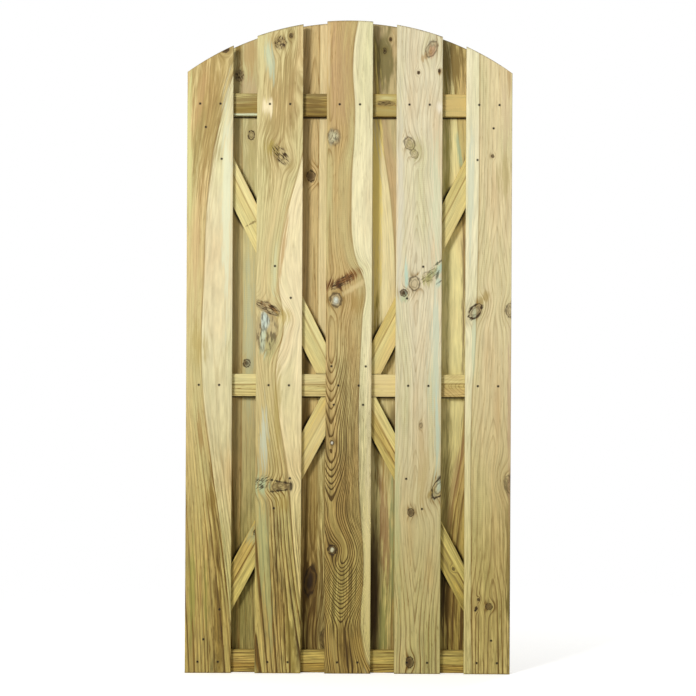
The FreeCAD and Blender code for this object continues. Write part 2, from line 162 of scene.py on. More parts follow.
TIMBERS = {
    "front_board_1": Timber(
        "#dfd4a8", "#d1bd83",
        ((0, -315), (300, -340), (600, -380), (830, -405), (1100, -400), (1370, -385), (1550, -350),
         (1800, -270)),
        pith_across=-150, pith_depth=30, ring=9, contrast=0.47, seed=1,
        knots=(Knot(-343, 1719, 9, 1.0, 1.0),),
        stains=(
            Stain(-395, 1560, 66, 310, "#d3c6ad", 0.9, 8, wash=True),
            Stain(-420, 1560, 16, 130, "#cfa873", 0.4, 14),
            Stain(-441, 1420, 9, 230, "#dcd894", 0.75), Stain(-340, 1330, 14, 280, "#e6e8c4", 0.7),
            Stain(-425, 1150, 12, 160, "#d2ae7c", 0.35),
            Stain(-415, 905, 22, 60, "#b39a54", 0.55), Stain(-411, 665, 9, 60, "#a67f45", 0.6, -6),
            Stain(-374, 478, 20, 36, "#a38a45", 0.6),
            Stain(-366, 400, 11, 150, "#cfbc94", 0.7, -3, wash=True),
            Stain(-354, 130, 13, 170, "#cdb98e", 0.75, -1, wash=True),
            Stain(-407, 220, 5, 80, "#a4744a", 0.7), Stain(-415, 200, 26, 300, "#dccb94", 0.2),
            Stain(-428, 240, 9, 140, GREEN, 0.5), Stain(-390, 240, 8, 110, GREEN, 0.4))),
    "front_board_2": Timber(
        "#ecdcae", "#d1c18a",
        ((0, -100), (300, -145), (540, -165), (740, -195), (840, -200), (960, -180), (1090, -195),
         (1250, -175), (1430, -130), (1800, -60)),
        pith_across=-110, pith_depth=25, ring=7.5, contrast=0.6, seed=2,
        knots=(
            Knot(-192, 1738, 15, 0.35, 1.1, 15, 0.25, 1.0), Knot(-163, 1757, 5, 0.8, rim=0.5, rough=1.0),
            Knot(-190, 1428, 15, 0.3, 1.9, -38, 0.2, 1.0), Knot(-222, 1006, 13, 0.5, 2.6, -63, 0.4, 1.0, 0.5),
            Knot(-228, 940, 28, 0.12, 1.8, 0, 0.25, 0.7, 0.9, 16),
            Knot(-238, 525, 15, 0.0, 1.5, 60, 0.0, 0.9, 0.0, 0.0),
            Knot(-184, 516, 12, 0.45, 2.1, 84, 0.5, 0.6, 0.6)),
        stains=(
            Stain(-190, 1560, 62, 260, "#d1c1a7", 0.75, 10, wash=True),
            Stain(-196, 1742, 22, 26, "#a58a4a", 0.5), Stain(-186, 1424, 18, 40, "#b09a58", 0.5, -38),
            Stain(-222, 1690, 12, 60, MINT, 0.6, -8), Stain(-229, 1562, 17, 28, CREAM, 0.95),
            Stain(-212, 1448, 20, 22, OLIVE, 0.6), Stain(-182, 1180, 7, 140, "#c2a06b", 0.8, 7),
            Stain(-205, 1110, 7, 90, "#d3d3a4", 0.6, 3), Stain(-218, 1008, 9, 40, RUST, 0.8, -63),
            Stain(-180, 985, 22, 22, "#b7a050", 0.6), Stain(-225, 905, 26, 46, "#b5ae74", 0.7),
            Stain(-232, 975, 15, 28, "#cfe0d2", 0.8), Stain(-236, 910, 9, 40, "#cfdcc0", 0.65),
            Stain(-233, 640, 11, 90, "#d3d9c4", 0.85), Stain(-238, 520, 16, 30, "#bfcfae", 0.9),
            Stain(-196, 700, 10, 160, "#b59f58", 0.55), Stain(-180, 470, 16, 30, "#b39a52", 0.6),
            Stain(-226, 300, 14, 200, "#cdd6ad", 0.55, -5), Stain(-186, 528, 3, 28, DARK, 0.9, -79),
            Stain(-185, 504, 3, 28, DARK, 0.9, 83), Stain(-157, 516, 5, 12, DARK, 0.8),
            Stain(-178, 150, 24, 170, "#c4b28a", 0.5, -9, wash=True),
            Stain(-154, 60, 10, 130, "#a3914f", 0.55, -6))),
    "front_board_3": Timber(
        "#ebe1b4", "#c3a970",
        ((0, 75), (95, 40), (300, 43), (530, 30), (980, 37), (1060, 45), (1170, 12), (1300, 5), (1550, 14),
         (1690, 8), (1800, 22)),
        pith_across=-71, pith_depth=-40, ring=13.2, narrowing=0.025, contrast=0.9, streaks=0.35, wet_to=1100,
        seed=3,
        flames=(Flame(120, 335, -1.0, 24), Flame(450, 630, -0.5), Flame(640, 900, -0.38)),
        knots=(
            Knot(-44, 1479, 17, 0.1, 1.25, 0, 0.45, 0.7), Knot(-36, 1030, 16, 0.2, 1.2, 0, 0.8, 0.3, 0.8, 18),
            Knot(-18, 1080, 11, 0.3, 3.0, 60, 0.1, 1.0, 0.3, 6),
            Knot(-45, 636, 5, 0.3), Knot(-43, 341, 12, 0.5, 1.1, 0, 1.0, 0.3, 0.9, 14)),
        stains=(
            Stain(-44, 1479, 16, 20, "#cfd0aa", 0.65),
            Stain(-15, 1085, 16, 56, "#b08050", 0.9, 60, wash=True),
            Stain(-38, 1068, 22, 18, "#a07a48", 0.8, wash=True), Stain(10, 1062, 8, 46, "#d9c48e", 0.7, 58),
            Stain(20, 1020, 20, 34, "#a0803f", 0.6), Stain(-36, 1030, 13, 16, "#d8e2d4", 0.85),
            Stain(-20, 500, 50, 460, "#c2b68b", 0.45, wash=True), Stain(-45, 636, 4, 4, "#f0efe6", 0.9),
            Stain(-43, 341, 5, 6, "#efefe6", 0.95), Stain(0, 60, 60, 70, "#a8946c", 0.45, wash=True),
            Stain(-30, 1660, 30, 180, "#b9946c", 0.4), Stain(-58, 1700, 6, 110, "#dcc795", 0.7),
            Stain(54, 300, 12, 300, "#fff3cc", 0.65), Stain(-36, 55, 13, 60, "#d9c48a", 0.6, -13),
            Stain(32, 70, 20, 55, "#c4a868", 0.5, -8), Stain(-2, 82, 7, 70, "#5f4718", 0.5, -11))),
    "front_board_4": Timber(
        "#e9dfb8", "#dfd4b0", ((0, 300), (1800, 300)),
        pith_across=-110, pith_depth=-36, ring=11, contrast=0.42, streaks=0.6, wet_to=450, seed=4,
        flames=(Flame(100, 440, -0.1), Flame(500, 640, 0.12), Flame(760, 1060, -0.12),
                Flame(1090, 1400, 0.12), Flame(1500, 1720, -0.15)),
        knots=(
            Knot(224, 1722, 14, 0.4, 1.7, 25, 0.6), Knot(189, 1657, 4, 1.0, 1.2, bend=2.0),
            Knot(246, 1662, 3.5, 1.0, 1.6), Knot(165, 1461, 14, 0.15, 1.35, -25, 0.7, lift=14),
            Knot(178, 1433, 10, 0.15, 1.3, -30, 0.6), Knot(151, 1050, 10, 0.95, 1.0, -20, rough=0.5),
            Knot(180, 1076, 15, 0.08, 1.3, 0, 0.75, 0.1, 0.9, 20), Knot(200, 685, 4, 0.3, 1.8),
            Knot(252, 515, 17, 0.1, 2.0, 30, 1.0, 0.2, 0.8), Knot(173, 445, 9, 0.8, 1.25),
            Knot(222, 1098, 14, 0.0, 1.8, 55, 0.0, 0.6, 0.3, 6), Knot(172, 32, 11, 0.8, 1.4, rough=0.5)),
        stains=(
            Stain(228, 1716, 12, 24, "#c49a74", 0.75, 25), Stain(205, 1700, 10, 24, "#b08a52", 0.6, 50),
            Stain(250, 1562, 14, 22, "#f1e6cc", 0.9), Stain(176, 1450, 22, 34, "#b5ac6a", 0.55, -25),
            Stain(232, 1105, 10, 44, "#8f9a5a", 0.6, 48), Stain(252, 1120, 8, 30, "#b7cbb4", 0.85, 30),
            Stain(248, 1078, 9, 16, "#bccdb6", 0.8), Stain(215, 1085, 18, 16, "#b4a860", 0.5, 60),
            Stain(157, 1105, 5, 50, "#bcd6c0", 0.85), Stain(150, 1035, 12, 14, "#aebf92", 0.6),
            Stain(240, 870, 17, 190, "#d0d8bc", 0.75), Stain(247, 640, 10, 140, "#c9d8c6", 0.8),
            Stain(252, 515, 13, 30, "#cfdccb", 0.9, 25), Stain(226, 497, 8, 26, "#a8904f", 0.65, 40),
            Stain(140, 1250, 10, 260, "#ded7be", 0.55), Stain(240, 1320, 18, 200, "#d9ddb6", 0.6),
            Stain(249, 1136, 3, 22, "#3f4424", 0.8, 53), Stain(243, 1099, 4, 12, "#4a4a28", 0.75, 20),
            Stain(256, 1085, 3, 16, "#4f4a2c", 0.75, 55),
            Stain(135, 420, 9, 300, "#cfd4ac", 0.6), Stain(205, 560, 18, 110, "#d3b987", 0.5))),
    "front_board_5": Timber(
        "#efe6bd", "#e1d0a0", ((0, 345), (310, 340), (750, 340), (950, 350), (1800, 356)),
        heart_side=1, pith_across=60, pith_depth=-38, ring=11, contrast=0.45, streaks=0.7, wet_to=490, seed=5,
        flames=(Flame(200, 330, 0.1), Flame(560, 760, 0.1), Flame(1020, 1330, 0.1)),
        knots=(
            Knot(348, 1000, 14, 0.5, 1.75, 40, 1.0, 0.1, 0.8, 14),
            Knot(445, 1003, 13, 0.3, 1.5, 0, 0.7, lift=16), Knot(394, 1428, 4, 0.8, 1.2),
            Knot(449, 520, 16, 0.2, 1.8, -20, 0.6, 0.5, 0.9, 24), Knot(390, 187, 9, 0.5, 1.0, 0, 0.8, 0.4),
            Knot(361, 206, 3.5, 0.9), Knot(355, 182, 3.5, 1.0, 1.5)),
        stains=(
            Stain(372, 1036, 12, 30, "#a58b49", 0.65, 45), Stain(428, 1375, 22, 60, "#b7a468", 0.55),
            Stain(430, 1540, 20, 90, "#dcc39a", 0.5), Stain(335, 1330, 9, 140, "#d6dcc0", 0.6),
            Stain(445, 300, 9, 280, "#98864f", 0.6), Stain(444, 190, 10, 60, "#7f7440", 0.6),
            Stain(440, 1640, 9, 70, "#bf9f6c", 0.6), Stain(444, 700, 5, 260, "#c9a98c", 0.6),
            Stain(345, 900, 7, 100, "#cdd6b0", 0.6), Stain(390, 180, 70, 260, "#d8ccb0", 0.4, wash=True))),
    "back_board_1": Timber(
        "#c1b381", "#bfab76", ((0, -300), (900, -296), (1800, -300)),
        pith_across=-40, pith_depth=-60, ring=9, contrast=0.4, seed=6,
        knots=(
            Knot(-307, 1652, 12, 0.6, 1.3, 0, 0.4, 1.0), Knot(-273, 1487, 9, 0.4, 1.4, 0, 1.0, 0.2),
            Knot(-283, 854, 10, 0.9, 1.1)),
        stains=(
            # The dark mark at the top left of the gap is painted shade beside front board 1
            Stain(-312, 1740, 12, 60, "#80641f", 0.8), Stain(-280, 1600, 26, 50, "#c8ae88", 0.5),
            Stain(-278, 1710, 22, 60, "#b8935a", 0.5),
            Stain(-275, 960, 14, 220, "#bfc5a2", 0.5), Stain(-300, 250, 34, 240, "#8f8a52", 0.5),
            Stain(-270, 1430, 16, 130, "#ab9c60", 0.45))),
    "back_board_2": Timber(
        "#e2d29e", "#ccb47c", ((0, -84), (900, -86), (1800, -84)),
        pith_across=-8, pith_depth=9, ring=11, contrast=0.8, seed=7, flames=(Flame(1450, 1790, 0.08),),
        knots=(
            Knot(-107, 1374, 12, 0.85, 1.3, 0, 0.9, 0.2, 0.9, 22),
            Knot(-104, 250, 16, 1.0, 2.6, 8, 0.9, 0.2, 0.9, 14), Knot(-62, 90, 14, 0.5, 2.0, 0, 0.7, 0.5)),
        stains=(
            Stain(-110, 1400, 14, 46, "#8d7238", 0.6), Stain(-104, 250, 18, 55, "#4a3226", 0.75),
            Stain(-90, 480, 40, 260, "#a68c4c", 0.55), Stain(-70, 1300, 8, 300, "#d8c795", 0.5),
            # The smooth dark marks on the face at the left of the gap, above and below the middle rail, are
            # painted shade beside front board 2
            Stain(-95, 180, 50, 240, "#6f5220", 0.5), Stain(-116, 850, 16, 44, "#5a4010", 0.65, shade_on_face=True),
            Stain(-118, 715, 18, 62, "#5f430f", 0.6, shade_on_face=True))),
    "back_board_3": Timber(
        "#e5d8a5", "#bda77a",
        ((0, 120), (700, 128), (1060, 129), (1250, 120), (1390, 103), (1525, 80), (1800, 60)),
        heart_side=1, pith_across=50, pith_depth=-35, ring=9, contrast=0.4, seed=8,
        knots=(Knot(96, 1723, 5, 1.0, 1.6), Knot(112, 1755, 4, 1.0)),
        stains=(
            # The dark top of the gap is painted shade and dirt; the pale yellow band is painted light that
            # lifts the shadow beside front board 3
            Stain(95, 1690, 60, 100, "#716838", 0.8), Stain(76, 1330, 16, 340, "#ffe88c", 0.9),
            # The dark olive band at the left of the gap is painted shade beside front board 3
            Stain(82, 700, 14, 280, "#867632", 0.85), Stain(104, 400, 15, 200, "#a8785c", 0.6, -6),
            # The small dark mark on the face at the right is painted shade in a brace's corner
            Stain(112, 690, 26, 200, "#b9a360", 0.5), Stain(124, 690, 11, 60, "#4f3810", 0.6, shade_on_face=True),
            Stain(124, 360, 10, 240, "#a9b78c", 0.7), Stain(100, 120, 14, 100, "#98a468", 0.6),
            # The deep brown mark on the face at the foot is a painted shadow beside front board 3
            Stain(70, 210, 27, 260, "#3f2500", 0.94, shade_on_face=True))),
    "back_board_4": Timber(
        "#e6da9c", "#cdb977", ((0, 280), (420, 285), (640, 316), (1390, 307), (1800, 270)),
        heart_side=1, pith_across=60, pith_depth=-40, ring=9, contrast=0.4, seed=9,
        stains=(
            # The dark top of the gap is painted shade and dirt
            Stain(290, 1690, 60, 90, "#7a6330", 0.85), Stain(305, 1440, 8, 70, "#a9b892", 0.8, -12),
            Stain(270, 1300, 10, 350, "#a59d4a", 0.6), Stain(318, 1080, 7, 420, "#7d6845", 0.8),
            Stain(275, 400, 14, 420, "#7d6a2c", 0.55), Stain(285, 170, 34, 160, "#6d5226", 0.7),
            # The near black mark on the face at the foot is a painted shadow beside front board 4
            Stain(260, 240, 16, 160, "#2e1c02", 0.8, shade_on_face=True),
            Stain(296, 520, 10, 150, "#a8825c", 0.5, 10))),
    "top_rail": Timber(
        "#a8914e", "#8f7838", ((0, 0), (1800, 6)), pith_across=30, pith_depth=-26, taper=0.06, contrast=0.6,
        seed=10, knots=(Knot(5, -100, 7, 0.8, 3.5, 0, 0.2, 1.0),),
        stains=(
            Stain(0, -300, 50, 110, "#d6bb76", 0.85), Stain(4, 96, 40, 50, "#6d5428", 0.7),
            Stain(0, -96, 50, 50, "#c3a95c", 0.4), Stain(20, -98, 6, 40, "#cfc88c", 0.8),
            Stain(12, 290, 16, 60, "#7a6030", 0.6), Stain(-28, 290, 4, 70, "#d3dcb8", 0.85))),
    "middle_rail": Timber(
        "#e2d699", "#d9c987", ((0, 4), (1800, -8)), pith_across=-2, pith_depth=-20, contrast=1.0, seed=11,
        flames=(Flame(-330, -250, 0.5),),
        stains=(Stain(0, -110, 50, 60, "#ecd79a", 0.7), Stain(0, -290, 50, 70, "#e4d6b8", 0.5, wash=True))),
    "bottom_rail": Timber(
        "#dcc783", "#c8aa62", ((0, -6), (1800, 6)), pith_across=-26, pith_depth=-20, taper=0.06, seed=12),
    "upper_left_brace": Timber(
        "#e5d797", "#dbca86", ((0, 10), (1800, 0)), pith_across=40, contrast=0.25, seed=13,
        stains=(Stain(-8, 69, 3, 26, "#7d6a3a", 0.75, 88),)),
    "upper_right_brace": Timber(
        "#dec983", "#d0b96e", ((0, -8), (1800, 4)), pith_across=-44, contrast=0.45, seed=14),
    "lower_left_brace": Timber(
        "#eadb98", "#dcc67c", ((0, 0), (1800, 8)), pith_across=36, contrast=0.3, seed=15,
        knots=(Knot(-13, -35, 6, 1.0, 1.5),),
        stains=(Stain(-8, -48, 22, 34, "#cdd2ae", 0.7), Stain(0, 280, 60, 100, "#f0e6b4", 0.25))),
    "lower_right_brace": Timber(
        "#e6d792", "#d4bd70", ((0, 6), (1800, 0)), pith_across=-30, contrast=0.65, seed=16,
        knots=(Knot(-1, -140, 3.5, 0.9),), stains=(Stain(0, -120, 60, 90, "#efe09a", 0.35),)),
}

# Painted shadow: a thin dark line on the back boards just under the top and the middle rail
RAIL_SHADOW_LINES = [Stain(across=0, up=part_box(rail)[0].z / MM - 1, half_width=900, half_height=5, tint=DARK,
                     strength=0.9, shade_on_face=True) for rail in ("top_rail", "middle_rail")]


# The sizes and colours that a user would change

class GateTimberSizes(bpy.types.PropertyGroup):
    """Sizes of the sawn timber's edges, surface and nail dents."""
    arris: FloatProperty(
        name="Arris", description="Radius of the eased long edges", default=2 * MM, unit="LENGTH")
    cell: FloatProperty(
        name="Cell", description="Grid step across the grain", default=5 * MM, unit="LENGTH")
    length_cell: FloatProperty(
        name="Length Cell", description="Grid step along the grain", default=10 * MM, unit="LENGTH")
    saw_depth: FloatProperty(
        name="Saw Depth", description="Deepest hollow left by the saw", default=0.5 * MM, unit="LENGTH")
    saw_wave: FloatProperty(
        name="Saw Wave", description="Distance between the saw's hollows", default=110 * MM, unit="LENGTH")
    dent_radius: FloatProperty(
        name="Dent Radius", description="Radius of the dent over a nail", default=2.4 * MM, unit="LENGTH")
    dent_depth: FloatProperty(
        name="Dent Depth", description="Depth of the dent over a nail", default=2.3 * MM, unit="LENGTH")


class GateNailSizes(bpy.types.PropertyGroup):
    """Sizes and colours of the wire nails."""
    head_radius: FloatProperty(
        name="Head Radius", description="Radius of the nail's head", default=2.2 * MM, unit="LENGTH")
    head_thickness: FloatProperty(
        name="Head Thickness", description="Thickness of the head", default=1.2 * MM, unit="LENGTH")
    shank_radius: FloatProperty(
        name="Shank Radius", description="Radius of the wire", default=1.4 * MM, unit="LENGTH")
    point_length: FloatProperty(
        name="Point Length", description="Length of the cut point", default=4 * MM, unit="LENGTH")
    steel: FloatVectorProperty(
        name="Steel", description="Colour of the dull wire", subtype="COLOR", default=linear("#2c241c"))
    rust: FloatVectorProperty(
        name="Rust", description="Colour of the rust film", subtype="COLOR", default=linear("#24170c"))


class GatePineFinish(bpy.types.PropertyGroup):
    """Colours that all the pieces of treated pine share."""
    latewood: FloatVectorProperty(
        name="Latewood", description="Dark late part of a ring", subtype="COLOR", default=linear("#8f6f35"))
    wet_latewood: FloatVectorProperty(
        name="Wet Latewood", description="Latewood in a soaked foot", subtype="COLOR",
        default=linear("#5c461a"))
    treatment: FloatVectorProperty(
        name="Treatment", description="Green left by the treatment", subtype="COLOR",
        default=linear("#cccb92"))
    warmth: FloatVectorProperty(
        name="Warmth", description="Warm tan blotches", subtype="COLOR", default=linear("#d3af7c"))
    knot_dark: FloatVectorProperty(
        name="Dark Knot", description="Dark knotwood", subtype="COLOR", default=linear("#5c4122"))
    knot_pale: FloatVectorProperty(
        name="Pale Knot", description="Pale knotwood", subtype="COLOR", default=linear("#cdb989"))
    knot_mark: FloatVectorProperty(
        name="Knot Mark", description="Bark and outline of a knot", subtype="COLOR", default=linear(UMBER))
    nail_stain: FloatVectorProperty(
        name="Nail Stain", description="Black stain round a nail", subtype="COLOR", default=linear("#2e2519"))
    end_grain: FloatVectorProperty(
        name="End Grain", description="Ends that drank the treatment", subtype="COLOR",
        default=linear("#86713f"))
    cut_rim: FloatVectorProperty(
        name="Cut Rim", description="Frayed dark rim of a cut end", subtype="COLOR",
        default=linear("#4a3a1e"))
    # Painted shade: this tint makes the lower part of every piece darker and yellower
    foot: FloatVectorProperty(
        name="Foot", description="Tint of the foot, which stood deeper in the treatment", subtype="COLOR",
        default=linear("#d8d1a9"))


class GateStage(bpy.types.PropertyGroup):
    """The floor, the lights and the camera."""
    floor: FloatVectorProperty(
        name="Floor", description="Colour of the floor", subtype="COLOR", default=linear("#f7f7f5"))
    floor_radius: FloatProperty(
        name="Floor Radius", description="Radius of the round floor", default=3.0, unit="LENGTH")
    distance: FloatProperty(
        name="Distance", description="Camera to the front boards", default=6.2, unit="LENGTH")
    lens: FloatProperty(
        name="Lens", description="Focal length in mm", default=116.4)
    roll: FloatProperty(
        name="Roll", description="Turn about the line of sight", default=math.radians(0.28), subtype="ANGLE")
    key_power: FloatProperty(
        name="Key Power", description="Power of the key light", default=126.0, unit="POWER")
    back_power: FloatProperty(
        name="Back Power", description="Power of the light behind the gate", default=60.0, unit="POWER")
    key_size: FloatProperty(
        name="Key Size", description="Side of the key light", default=0.9, unit="LENGTH")
    ambient: FloatProperty(
        name="Ambient", description="Strength of the light from all round", default=0.38)


# Nodes

def shown(node):
    """The node's first output that is in use."""
    return next(out for out in node.outputs if out.enabled)


def add(tree, kind, inputs=(), **settings):
    """Adds a node of that kind with its settings, and sets or links its inputs by name or place."""
    node = tree.nodes.new(kind)
    for name, value in settings.items():
        setattr(node, name, value)
    sockets = [socket for socket in node.inputs if socket.enabled]
    named = {socket.name: socket for socket in reversed(sockets)}
    for key, value in inputs.items() if isinstance(inputs, dict) else enumerate(inputs):
        socket = named[key] if isinstance(key, str) else sockets[key]
        if isinstance(value, bpy.types.Node):
            value = shown(value)
        if isinstance(value, bpy.types.NodeSocket):
            tree.links.new(value, socket)
        else:
            socket.default_value = value
    return node


def node_group(kind, name, inputs, outputs):
    """A new group with those sockets, each a name and a kind, and the sockets to build between."""
    tree = bpy.data.node_groups.new(name, kind)
    for direction, sockets in (("INPUT", inputs), ("OUTPUT", outputs)):
        for label, socket in sockets.items():
            tree.interface.new_socket(label, in_out=direction, socket_type=f"NodeSocket{socket}")
    given = add(tree, "NodeGroupInput").outputs
    result = add(tree, "NodeGroupOutput").inputs
    return tree, given, result


def hand_out(tree, made, result):
    """Links what a group has made to its outputs, by name."""
    for label, node in made.items():
        tree.links.new(shown(node), result[label])


def hand_out_shape(tree, shape, given, result):
    """Ends a tree of shapes: makes its instances real and gives the shape its material."""
    plain = add(tree, "GeometryNodeRealizeInstances", {"Geometry": shape})
    faced = add(tree, "GeometryNodeSetMaterial", {"Geometry": plain, "Material": given["Material"]})
    hand_out(tree, {"Geometry": faced}, result)


def blank_material(name):
    """A new material with an empty tree."""
    material = bpy.data.materials.new(name)
    material.use_nodes = True
    material.node_tree.nodes.clear()
    return material, material.node_tree


def finished_mesh(piece):
    """Turns the piece's evaluated shape into its plain mesh and takes its modifiers off."""
    graph = bpy.context.evaluated_depsgraph_get()
    mesh = bpy.data.meshes.new_from_object(piece.evaluated_get(graph), depsgraph=graph)
    piece.modifiers.clear()
    piece.data = mesh
    mesh.name = piece.name


def run_tree(piece, tree, values):
    """Puts a tree on the piece with its inputs set, and keeps the shape that it makes."""
    modifier = piece.modifiers.new(tree.name, "NODES")
    modifier.node_group = tree
    for item in tree.interface.items_tree:
        if item.in_out == "INPUT" and item.name in values:
            modifier[item.identifier] = values[item.name]
    finished_mesh(piece)


# Shapes

SAME = 0.1 * MM                      # places nearer than this are one
SHARP = math.radians(40)             # edges sharper than this stay crisp
ARCH_RUN = 30 * MM                   # a board is drawn down to the arch from this far below the arch's ends
END_RIM = 4 * MM                     # how far the dark rim of a cut end reaches
END_LINES = (2.5 * MM, 6 * MM)       # grid lines this far from an end carry that rim
NAIL_SPREAD = 8 * MM                 # points nearer than this belong to one nail
NAIL_TIP = 0.2 * MM                  # radius left at a nail's point
HEAD_SIDES, SHANK_SIDES = 12, 10     # sides of a nail's head and of its wire
CORNER_SHADE = (8, 44)                # half the width and height of the painted shade in a brace's corner, in mm
CORNER_SHADE_IN = 12                  # how far it lies from the front board's edge, in mm


def sawn_timber_tree():
    """Cuts a block to the arch, leans it, hollows its faces as a saw does and dents it over the nails."""
    tree, given, result = node_group(
        "GeometryNodeTree", "sawn_timber",
        {"Geometry": "Geometry", "Arched": "Float", "Arch Radius": "Float", "Arch Centre": "Float",
         "Straight Height": "Float", "Full Height": "Float", "Lean": "Float", "Foot": "Float",
         "Saw Depth": "Float", "Saw Wave": "Float", "Dent Radius": "Float", "Dent Depth": "Float",
         "Nails": "Object", "Seed": "Float", "Material": "Material"},
        {"Geometry": "Geometry"})
    place = add(tree, "GeometryNodeInputPosition")
    across, _, up = add(tree, "ShaderNodeSeparateXYZ", [place]).outputs

    # The arch: heights above the straight part are drawn down to the circle
    radius_squared = add(tree, "ShaderNodeMath", [given["Arch Radius"], 2.0], operation="POWER")
    across_squared = add(tree, "ShaderNodeMath", [across, across], operation="MULTIPLY")
    chord = add(tree, "ShaderNodeMath", [radius_squared, across_squared], operation="SUBTRACT")
    rise = add(tree, "ShaderNodeMath", [chord], operation="SQRT")
    arch = add(tree, "ShaderNodeMath", [rise, given["Arch Centre"]], operation="ADD")
    drop = add(tree, "ShaderNodeMath", [arch, given["Full Height"]], operation="SUBTRACT")
    share = add(tree, "ShaderNodeMapRange", {"Value": up, "From Min": given["Straight Height"],
                                             "From Max": given["Full Height"], "To Max": given["Arched"]})
    lowered = add(tree, "ShaderNodeMath", [drop, share], operation="MULTIPLY")

    # The lean: a brace's long edges slant while its ends stay level
    above_foot = add(tree, "ShaderNodeMath", [up, given["Foot"]], operation="SUBTRACT")
    leaned = add(tree, "ShaderNodeMath", [above_foot, given["Lean"]], operation="MULTIPLY")
    cut = add(tree, "ShaderNodeCombineXYZ", {"X": leaned, "Z": lowered})
    shaped = add(tree, "GeometryNodeSetPosition", {"Geometry": given["Geometry"], "Offset": cut})

    # The saw's hollows
    seeded = add(tree, "ShaderNodeCombineXYZ", {"X": given["Seed"], "Z": given["Seed"]})
    moved = add(tree, "ShaderNodeVectorMath", [place, seeded], operation="ADD")
    waves = add(tree, "ShaderNodeMath", [1.0, given["Saw Wave"]], operation="DIVIDE")
    hollow = add(tree, "ShaderNodeTexNoise", {"Vector": moved, "Scale": waves, "Detail": 3.0})
    saw = add(tree, "ShaderNodeMath", [hollow.outputs[0], given["Saw Depth"]], operation="MULTIPLY")

    # The dents: the face sinks where a nail's head was driven in
    nails = add(tree, "GeometryNodeObjectInfo", {"Object": given["Nails"]})
    nearest = add(tree, "GeometryNodeProximity", {"Geometry": nails.outputs["Geometry"]},
                  target_element="POINTS")
    gap = add(tree, "GeometryNodeSwitch", {"Switch": nearest.outputs["Is Valid"], "False": 1.0,
                                           "True": nearest.outputs["Distance"]}, input_type="FLOAT")
    wall = add(tree, "ShaderNodeMath", [given["Dent Radius"], 0.8], operation="MULTIPLY")
    brim = add(tree, "ShaderNodeMath", [given["Dent Radius"], 1.2], operation="MULTIPLY")
    dent = add(tree, "ShaderNodeMapRange", {"Value": gap, "From Min": wall, "From Max": brim,
                                            "To Min": given["Dent Depth"], "To Max": 0.0},
               interpolation_type="SMOOTHSTEP")
    depth = add(tree, "ShaderNodeMath", [saw, dent], operation="ADD")
    inwards = add(tree, "ShaderNodeMath", [depth, -1.0], operation="MULTIPLY")
    normal = add(tree, "GeometryNodeInputNormal")
    sunk = add(tree, "ShaderNodeVectorMath", {"Vector": normal, "Scale": inwards}, operation="SCALE")
    worn = add(tree, "GeometryNodeSetPosition", {"Geometry": shaped, "Offset": sunk})
    marked = add(tree, "GeometryNodeStoreNamedAttribute",
                 {"Geometry": worn, "Name": "nail_gap", "Value": gap}, data_type="FLOAT", domain="POINT")
    hand_out_shape(tree, marked, given, result)
    return tree


def driven_nails_tree():
    """Sets a wire nail at each point: a round head, a shank and a point, driven along Y."""
    tree, given, result = node_group(
        "GeometryNodeTree", "driven_nails",
        {"Geometry": "Geometry", "Head Radius": "Float", "Head Thickness": "Float", "Shank Radius": "Float",
         "Shank Length": "Float", "Point Length": "Float", "Turn": "Float", "Material": "Material"},
        {"Geometry": "Geometry"})
    head = add(tree, "GeometryNodeMeshCylinder", {
        "Vertices": HEAD_SIDES, "Radius": given["Head Radius"], "Depth": given["Head Thickness"]})
    shank, tip = (
        add(tree, "GeometryNodeMeshCone", {"Vertices": SHANK_SIDES, "Radius Top": given["Shank Radius"],
                                           "Radius Bottom": end, "Depth": given[length]})
        for end, length in ((given["Shank Radius"], "Shank Length"), (NAIL_TIP, "Point Length")))
    half_head = add(tree, "ShaderNodeMath", [given["Head Thickness"], -0.5], operation="MULTIPLY")
    driven = add(tree, "ShaderNodeMath", [given["Head Thickness"], given["Shank Length"]], operation="ADD")
    shank_foot = add(tree, "ShaderNodeMath", [driven, -1.0], operation="MULTIPLY")
    tip_foot = add(tree, "ShaderNodeMath", [shank_foot, given["Point Length"]], operation="SUBTRACT")
    nail = add(tree, "GeometryNodeJoinGeometry")
    for part, height in ((head, half_head), (shank, shank_foot), (tip, tip_foot)):
        spot = add(tree, "ShaderNodeCombineXYZ", {"Z": height})
        placed = add(tree, "GeometryNodeTransform", {"Geometry": part, "Translation": spot})
        tree.links.new(placed.outputs[0], nail.inputs[0])
    turned = add(tree, "ShaderNodeCombineXYZ", {"X": given["Turn"]})
    set_nails = add(tree, "GeometryNodeInstanceOnPoints", {"Points": given["Geometry"], "Instance": nail,
                                                           "Rotation": turned})
    hand_out_shape(tree, set_nails, given, result)
    return tree


def grid_lines(low, high, step, marks, reach=4.2 * MM, fine=0.7 * MM):
    """Places of grid lines from low to high: about a step apart, and close together around the marks."""
    coarse = np.linspace(low, high, max(2, round((high - low) / step) + 1))
    around = [mark + np.arange(-reach, reach + fine / 2, fine) for mark in marks]
    clear = [line for line in coarse if all(abs(line - mark) > reach + fine for mark in marks)]
    lines = sorted({low, high, *clear, *(line for group in around for line in group if low < line < high)})
    kept = [lines[0]]
    for line in lines[1:]:
        if line - kept[-1] > fine / 2:
            kept.append(line)
    kept[-1] = high
    return np.array(kept)


def edge_lines(low, high, step, marks, arris):
    """Grid lines across a bar: three on each rounded edge, and the rest between."""
    eighth_turn = arris * math.tan(math.pi / 8)
    inner = grid_lines(low + arris, high - arris, step, marks)
    return np.array([low, low + arris - eighth_turn, *inner, high - arris + eighth_turn, high])


def end_lines(low, high, step, marks):
    """Grid lines along a bar, with two close to each end for the dark rim of the cut."""
    near_ends = [end + side * gap for end, side in ((low, 1), (high, -1)) for gap in END_LINES]
    return np.array(sorted({*grid_lines(low, high, step, marks), *near_ends}))


